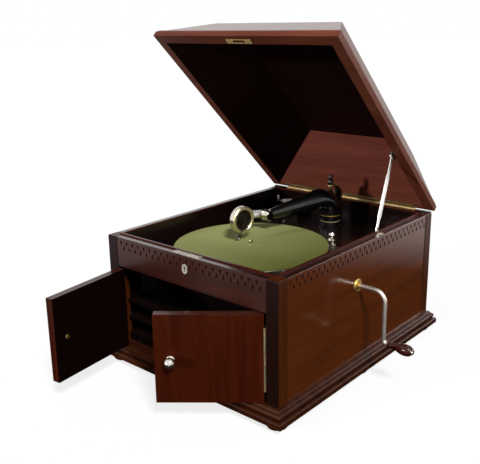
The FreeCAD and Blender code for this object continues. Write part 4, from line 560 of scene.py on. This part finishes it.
# Frosted nickel is pale and half diffuse, lacquered brass is pale straw, blued steel brown-black.
neck_nickel = metal("nickel_plate_frosted", "#f6f3ef", "#dcd7ce", patch=0.012, rough=0.3, share=0.55)
pale_brass = metal("brass_pale_lacquered", "#efe3bd", "#cdbd8d", patch=0.01, rough=0.25)
blued = metal("steel_blued", "#5c564c", "#332e28", patch=0.004, rough=0.25)
dress(neck_nickel, "gooseneck")
dress(nickel, "soundbox_shell")
dress(pale_brass, "soundbox_ring")
dress(blued, "stylus_bar", "needle_screw")
dress(steel, "needle")

# Split mica lies in flakes and stress rings at slightly different depths, brown on the dark box behind.
FLAKE = 0.004
RING_STEP = 0.0055
mica = blank("mica_sheet")
mica_place = add(mica, "TexCoord").outputs["Object"]
flakes = add(mica, "TexVoronoi", {"Vector": mica_place, "Scale": 1 / FLAKE})
mica_middle = (Vector(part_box("diaphragm")[0]) + Vector(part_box("diaphragm")[1])) / 2
from_middle = add(mica, "VectorMath", {0: mica_place, 1: mica_middle}, operation="DISTANCE")
ripple = add(mica, "Math", {0: from_middle.outputs["Value"], 1: 2 * math.pi / RING_STEP},
             operation="MULTIPLY").outputs[0]
rings = add(mica, "Math", {0: ripple}, operation="SINE").outputs[0]
ringed = add(mica, "MapRange", {"Value": rings, "From Min": -0.3, "From Max": 0.6})
sheet = add(mica, "Mix", {0: flakes.outputs["Distance"], 6: tint("#0c0807"), 7: tint("#3c2c1d")},
            data_type="RGBA")
banded = add(mica, "Mix", {0: ringed.outputs[0], 6: tint("#070504"), 7: sheet.outputs[2]}, data_type="RGBA")
glint = add(mica, "BsdfPrincipled", {"Base Color": banded.outputs[2], "Roughness": 0.3, "IOR": 1.5,
                                     "Specular IOR Level": 0.2})
add(mica, "OutputMaterial", {"Surface": glint.outputs[0]})
dress(mica, "diaphragm")
smooth("gooseneck", "soundbox_shell", "stylus_bar", "soundbox_ring", "needle", "needle_screw", "diaphragm")

# Lid
# A hipped hood: a moulded mahogany rim, four sloping boards mitred at the hips, and a flat top panel. The
# inside of the top and the cheeks are painted nearly black as painted shade, the rim and the back board's
# inside are painted lighter as painted light, and the rest is polished as the case is.
LID_ANGLE = 44
LID_FIGURE = (0.3, 0.06, 0.02)
LID_DOWN = (0, -math.sin(math.radians(LID_ANGLE)), -math.cos(math.radians(LID_ANGLE)))
CHEEK_UNDER = -0.02
FRONTWARD_UNDER = -0.9


def shade_lid_cheeks(made):
    """Paint shade on the faces that look in from the left and right towards the middle of the lid."""
    place = add(made, "SeparateXYZ", {0: add(made, "TexCoord").outputs["Object"]}).outputs["X"]
    facing = add(made, "SeparateXYZ", {0: add(made, "NewGeometry").outputs["Normal"]}).outputs["X"]
    to_middle = add(made, "Math", {0: place, 1: facing}, operation="MULTIPLY").outputs[0]
    mask = add(made, "Math", {0: to_middle, 1: CHEEK_UNDER}, operation="LESS_THAN").outputs[0]
    overlay(made, mask, "#220c0b", 0, SHADE_ROUGH)


# The rim is painted lighter and redder than the boards, as painted sheen.
rim_wood = wood("mahogany_french_polished_lid_rim", "#5e2d20", "#753e2d", LID_FIGURE, rough=0.25,
                top_gloss=0.6, turn=LID_ANGLE)
dress(rim_wood, "lid_rim")
shade_lid_cheeks(rim_wood)
slope_wood = wood("mahogany_french_polished_lid_slopes", "#4a1f0a", "#5f2c10", LID_FIGURE, rough=0.25,
                  top_gloss=0.6, turn=LID_ANGLE)
dress(slope_wood, "lid_slopes")
shade_lid_cheeks(slope_wood)

# The back board's inner face is painted lighter and redder, as painted light where the lamp falls on it.
back_slope_painted_light = wood("mahogany_french_polished_lid_back", "#5e2c22", "#743b2f", LID_FIGURE, rough=0.25,
                       turn=LID_ANGLE)
nodes["lid_slopes"].data.materials.append(back_slope_painted_light)
for face in nodes["lid_slopes"].data.polygons:
    if face.normal.y < FRONTWARD_UNDER:
        face.material_index = 1

# The top panel's figure is in narrower stripes, and its inside is painted nearly black, as painted shade.
top_wood = wood("mahogany_lid_top", "#4a1f0a", "#5f2c10", (0.3, 0.03, 0.02), rough=0.25, shine=0.03,
                top_gloss=0.6, turn=LID_ANGLE)
dress(top_wood, "lid_top_panel")
paint_shade_on_face(top_wood, "lid_top_panel", LID_DOWN, "#1b090a")
ease(BOARD_ARRIS, "lid_rim", "lid_slopes", "lid_top_panel")

# Lid fittings
# A brass strike plate, screwed under the front rim, takes the lock's bolt. The lid hangs on a brass strip
# hinge and stands on a nickelled stay, whose foot stud slides in a slotted guide on the right wall.

# Matt lacquered brass is pale gold and half diffuse; the hinge strip has dulled to a greyed yellow.
strike_brass = metal("brass_lacquered_matt", "#e2c583", "#b79a5c", patch=0.006, rough=0.35, share=0.5)
strip_brass = metal("brass_strip_dulled", "#b5a17c", "#80704f", patch=0.006, rough=0.4)
dress(strike_brass, "strike_plate")
dress(strip_brass, "lid_hinge_leaf", "hinge_case_leaves", "hinge_pins")
dress(satin_nickel, "lid_stay", "stay_bracket", "stay_guide")
smooth("strike_plate", "lid_hinge_leaf", "hinge_case_leaves", "hinge_pins")
smooth("lid_stay", "stay_bracket", "stay_guide")

# Packing strips of stained wood on the back rim close the slit at each end of the hinge.
MILLIMETRE = 0.001
PACKING_SIZE = (35.4, 7, 3)
PACKING_BACK = 0.2588
PACKING_HEIGHT = RIM_TOP + 0.0014
PACKING_OUT = 0.1893
for index, across in enumerate((-PACKING_OUT, PACKING_OUT)):
    bpy.ops.object.select_all(action="DESELECT")
    bpy.ops.mesh.primitive_cube_add(size=MILLIMETRE, location=(across, PACKING_BACK, PACKING_HEIGHT))
    packing = bpy.context.object
    packing.name = "hinge_packing_" + str(index + 1)
    packing.scale = PACKING_SIZE
    bpy.ops.object.transform_apply(location=True, rotation=True, scale=True)
    finish_with(packing, "BEVEL", width=THIN_BOARD_ARRIS, segments=3)
    packing.data.materials.append(stained)
    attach(packing, "case")

# One screw is made as a pattern, 1 mm in radius: a disc with a sawn slot and a broken edge.
PATTERN_RADIUS = 0.001
PATTERN_DEPTH = 0.0006
PATTERN_ARRIS = 0.00006
SLOT_HEIGHT = 0.0004
SLOT_SIZE = (2.4, 0.3, 0.6)
bpy.ops.object.select_all(action="DESELECT")
bpy.ops.mesh.primitive_cylinder_add(vertices=24, radius=PATTERN_RADIUS, depth=PATTERN_DEPTH)
screw_pattern = bpy.context.object
bpy.ops.mesh.primitive_cube_add(size=MILLIMETRE, location=(0, 0, SLOT_HEIGHT))
slot_saw = bpy.context.object
slot_saw.scale = SLOT_SIZE
bpy.ops.object.transform_apply(location=True, rotation=True, scale=True)
finish_with(screw_pattern, "BOOLEAN", object=slot_saw, operation="DIFFERENCE", solver="EXACT")
finish_with(screw_pattern, "BEVEL", width=PATTERN_ARRIS, segments=1, limit_method="ANGLE")
bpy.data.objects.remove(slot_saw)
FLUSH = 0.00008


def screw(name, place, outward, radius, finish, body, proud=FLUSH):
    """A slotted countersunk screw, copied from the pattern and sunk in the face that carries it."""
    made = screw_pattern.copy()
    made.data = screw_pattern.data.copy()
    made.name = name
    size = radius / PATTERN_RADIUS
    aim = Vector(outward).to_track_quat("Z", "Y").to_matrix().to_4x4()
    sunk = Vector(place) - Vector(outward) * (size * PATTERN_DEPTH / 2 - proud)
    made.data.transform(Matrix.Translation(sunk) @ aim @ Matrix.Scale(size, 4))
    bpy.context.scene.collection.objects.link(made)
    made.data.materials.append(finish)
    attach(made, body)


def on_face(node, across, outward):
    """The point of a node's outermost face along outward, at this place across x."""
    far = max(Vector(outward).dot(corner.co) for corner in nodes[node].data.vertices)
    low, high_corner = (Vector(corner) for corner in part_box(node))
    middle = (low + high_corner) / 2
    middle.x = across
    return middle + Vector(outward) * (far - Vector(outward).dot(middle))


STRIKE_SCREW = 0.002
STRIKE_SCREW_OUT = 0.0225
for index, across in enumerate((-STRIKE_SCREW_OUT, STRIKE_SCREW_OUT)):
    seat = on_face("strike_plate", across, LID_DOWN)
    screw("strike_screw_" + str(index + 1), seat, LID_DOWN, STRIKE_SCREW, brass, "lid")

# Lock and keyhole
# The lock is let into the front rim under a nickel plate held by two blued screws. Its steel bolt slides
# out of the plate, and a nickel escutcheon is pinned over the keyhole in the front rail.

# Nickel that hands have rubbed is grey, cloudy and dull.
lock_nickel = metal("nickel_plate_handled", "#c9c3b8", "#8f887c", patch=0.006, rough=0.4)
dress(lock_nickel, "lid_lock", "keyhole_escutcheon")
dress(steel, "lock_bolt")
smooth("lid_lock", "keyhole_escutcheon", "lock_bolt")
UP = (0, 0, 1)
LOCK_SCREW = 0.0024
LOCK_SCREW_OUT = 0.027
for index, across in enumerate((-LOCK_SCREW_OUT, LOCK_SCREW_OUT)):
    seat = on_face("lid_lock", across, UP)
    screw("lock_screw_" + str(index + 1), seat, UP, LOCK_SCREW, blued, "case")

# Doors
# Two flush mahogany doors of upright figure, polished outside and stained dark inside, hang on brass
# strip hinges. Each has a nickel ball knob, held by a brass screw from inside.

# The doors' polish is thin and even: plain red-brown outside, painted darker than the sides as painted
# shade, and painted nearly black inside, as painted shade.
DOOR_INWARD = {"left_door": (0.9917, 0.1288, 0), "right_door": (-0.6428, 0.766, 0)}
for door, inward in DOOR_INWARD.items():
    door_wood = wood("mahogany_" + door, "#330e06", "#471a08", (0.02, 0.02, 0.3), rough=0.25, top_gloss=0.5)
    dress(door_wood, door)
    paint_shade_on_face(door_wood, door, inward, "#130505")
ease(BOARD_ARRIS, "left_door", "right_door")
dress(pale_brass, "left_hinge_leaf", "right_hinge_leaf")
dress(nickel, "left_door_knob", "right_door_knob")
smooth("left_hinge_leaf", "right_hinge_leaf", "left_door_knob", "right_door_knob")
KNOB_SCREW = 0.0045
KNOB_SCREW_PLACE = (-0.1448, -0.4141, 0.12)
KNOB_SCREW_PROUD = 0.0008
screw("left_knob_screw", KNOB_SCREW_PLACE, DOOR_INWARD["left_door"], KNOB_SCREW, brass, "left_door",
      proud=KNOB_SCREW_PROUD)

bpy.data.objects.remove(screw_pattern)

# Studio
# A pale sheet under a white sky, and three broad soft lights at a plain level: a low one from the front
# left, a high one from the front right and one from behind on the right.
sky = bpy.data.worlds.new("white_sky")
bpy.context.scene.world = sky
sky.use_nodes = True
sky.node_tree.nodes.clear()


def seen_directly(made):
    """1 for what the camera sees, also in metal and through glass, and 0 for light that only fills."""
    rays = add(made, "LightPath").outputs
    first = add(made, "Math", {0: rays["Is Camera Ray"], 1: rays["Is Glossy Ray"]}, operation="MAXIMUM")
    seen = add(made, "Math", {0: first.outputs[0], 1: rays["Is Transmission Ray"]}, operation="MAXIMUM")
    return seen.outputs[0]


FILL = 0.13
level = add(sky, "MapRange", {"Value": seen_directly(sky), "To Min": FILL, "To Max": 1})
glow = add(sky, "Background", {"Color": (1, 1, 1, 1), "Strength": level.outputs[0]})
add(sky, "OutputWorld", {"Surface": glow.outputs[0]})

FLOOR_SIZE = 40
FLOOR_DROP = -0.0004
bpy.ops.object.select_all(action="DESELECT")
bpy.ops.mesh.primitive_plane_add(size=FLOOR_SIZE, location=(0, 0, FLOOR_DROP))
floor = bpy.context.object
floor.name = "floor"

# Pale paper is matt and almost even. Close round the object it is painted dark for reflections and fill
# light, as painted shade, and it grows light from 0.7 to 1.05 m out.
SHADE_END = 0.7
OPEN_FROM = 1.05
PAPER_LIFT = 0.78
PAPER_CLOUD = 0.025
paper = blank("paper_pale")
paper_place = add(paper, "TexCoord").outputs["Object"]
mottle = add(paper, "TexNoise", {"Vector": paper_place, "Scale": 1 / PAPER_CLOUD})
pulp = add(paper, "Mix", {0: mottle.outputs["Fac"], 6: tint("#8c8c8c"), 7: tint("#909090")},
           data_type="RGBA")
way_out = add(paper, "VectorMath", {0: paper_place}, operation="LENGTH").outputs["Value"]
opening = add(paper, "MapRange", {"Value": way_out, "From Min": SHADE_END, "From Max": OPEN_FROM})
eye = add(paper, "LightPath").outputs["Is Camera Ray"]
open_floor = add(paper, "Math", {0: opening.outputs[0], 1: eye}, operation="MAXIMUM").outputs[0]
shaded = add(paper, "Mix", {0: open_floor, 6: tint("#303030"), 7: pulp.outputs[2]}, data_type="RGBA")
sweep = add(paper, "BsdfDiffuse", {"Color": shaded.outputs[2]})
in_sight = add(paper, "Math", {0: seen_directly(paper), 1: open_floor}, operation="MULTIPLY").outputs[0]
lift = add(paper, "Math", {0: in_sight, 1: PAPER_LIFT}, operation="MULTIPLY")
white = add(paper, "Emission", {"Color": (1, 1, 1, 1), "Strength": lift.outputs[0]})
both_parts = add(paper, "AddShader", {0: sweep.outputs[0], 1: white.outputs[0]})
add(paper, "OutputMaterial", {"Surface": both_parts.outputs[0]})
floor.data.materials.append(paper)


LIGHT_DISTANCE = 3


def light(name, round_to_right, up, share, softness):
    """A far light: degrees round from the front and up, its level on a face square to it, its breadth."""
    way = Matrix.Rotation(math.radians(round_to_right), 3, "Z") @ Matrix.Rotation(math.radians(-up), 3, "X")
    bpy.ops.object.light_add(type="SUN", location=way @ Vector((0, -LIGHT_DISTANCE, 0)))
    made = bpy.context.object
    made.name = name
    made.data.energy = math.pi * share
    made.data.angle = math.radians(softness)
    made.rotation_euler = (way @ Vector((0, 1, 0))).to_track_quat("-Z", "Y").to_euler()


light("low_left", round_to_right=-22, up=11, share=0.55, softness=5)
light("high_right", round_to_right=58, up=46, share=0.85, softness=12)
light("rear_right", round_to_right=150, up=5, share=0.3, softness=20)

# Camera
# It stands where the photograph was taken from: 41 degrees round to the right, 15 above, about 1.5 m away
# and slightly rolled. The shifts stand for the photograph's crop.
CAMERA_PLACE = (0.8445, -1.0695, 0.6554)
bpy.ops.object.camera_add()
camera = bpy.context.object
camera.data.sensor_width = 36
camera.data.lens = 52.745
camera.data.shift_x = -0.00652
camera.data.shift_y = -0.03683
turn = Matrix.Rotation(math.radians(41.11), 4, "Z")
tilt = Matrix.Rotation(math.radians(90 - 15.43), 4, "X")
roll = Matrix.Rotation(math.radians(-0.88), 4, "Z")
camera.matrix_world = Matrix.Translation(CAMERA_PLACE) @ turn @ tilt @ roll
bpy.context.scene.camera = camera
bpy.context.scene.view_settings.view_transform = "Standard"
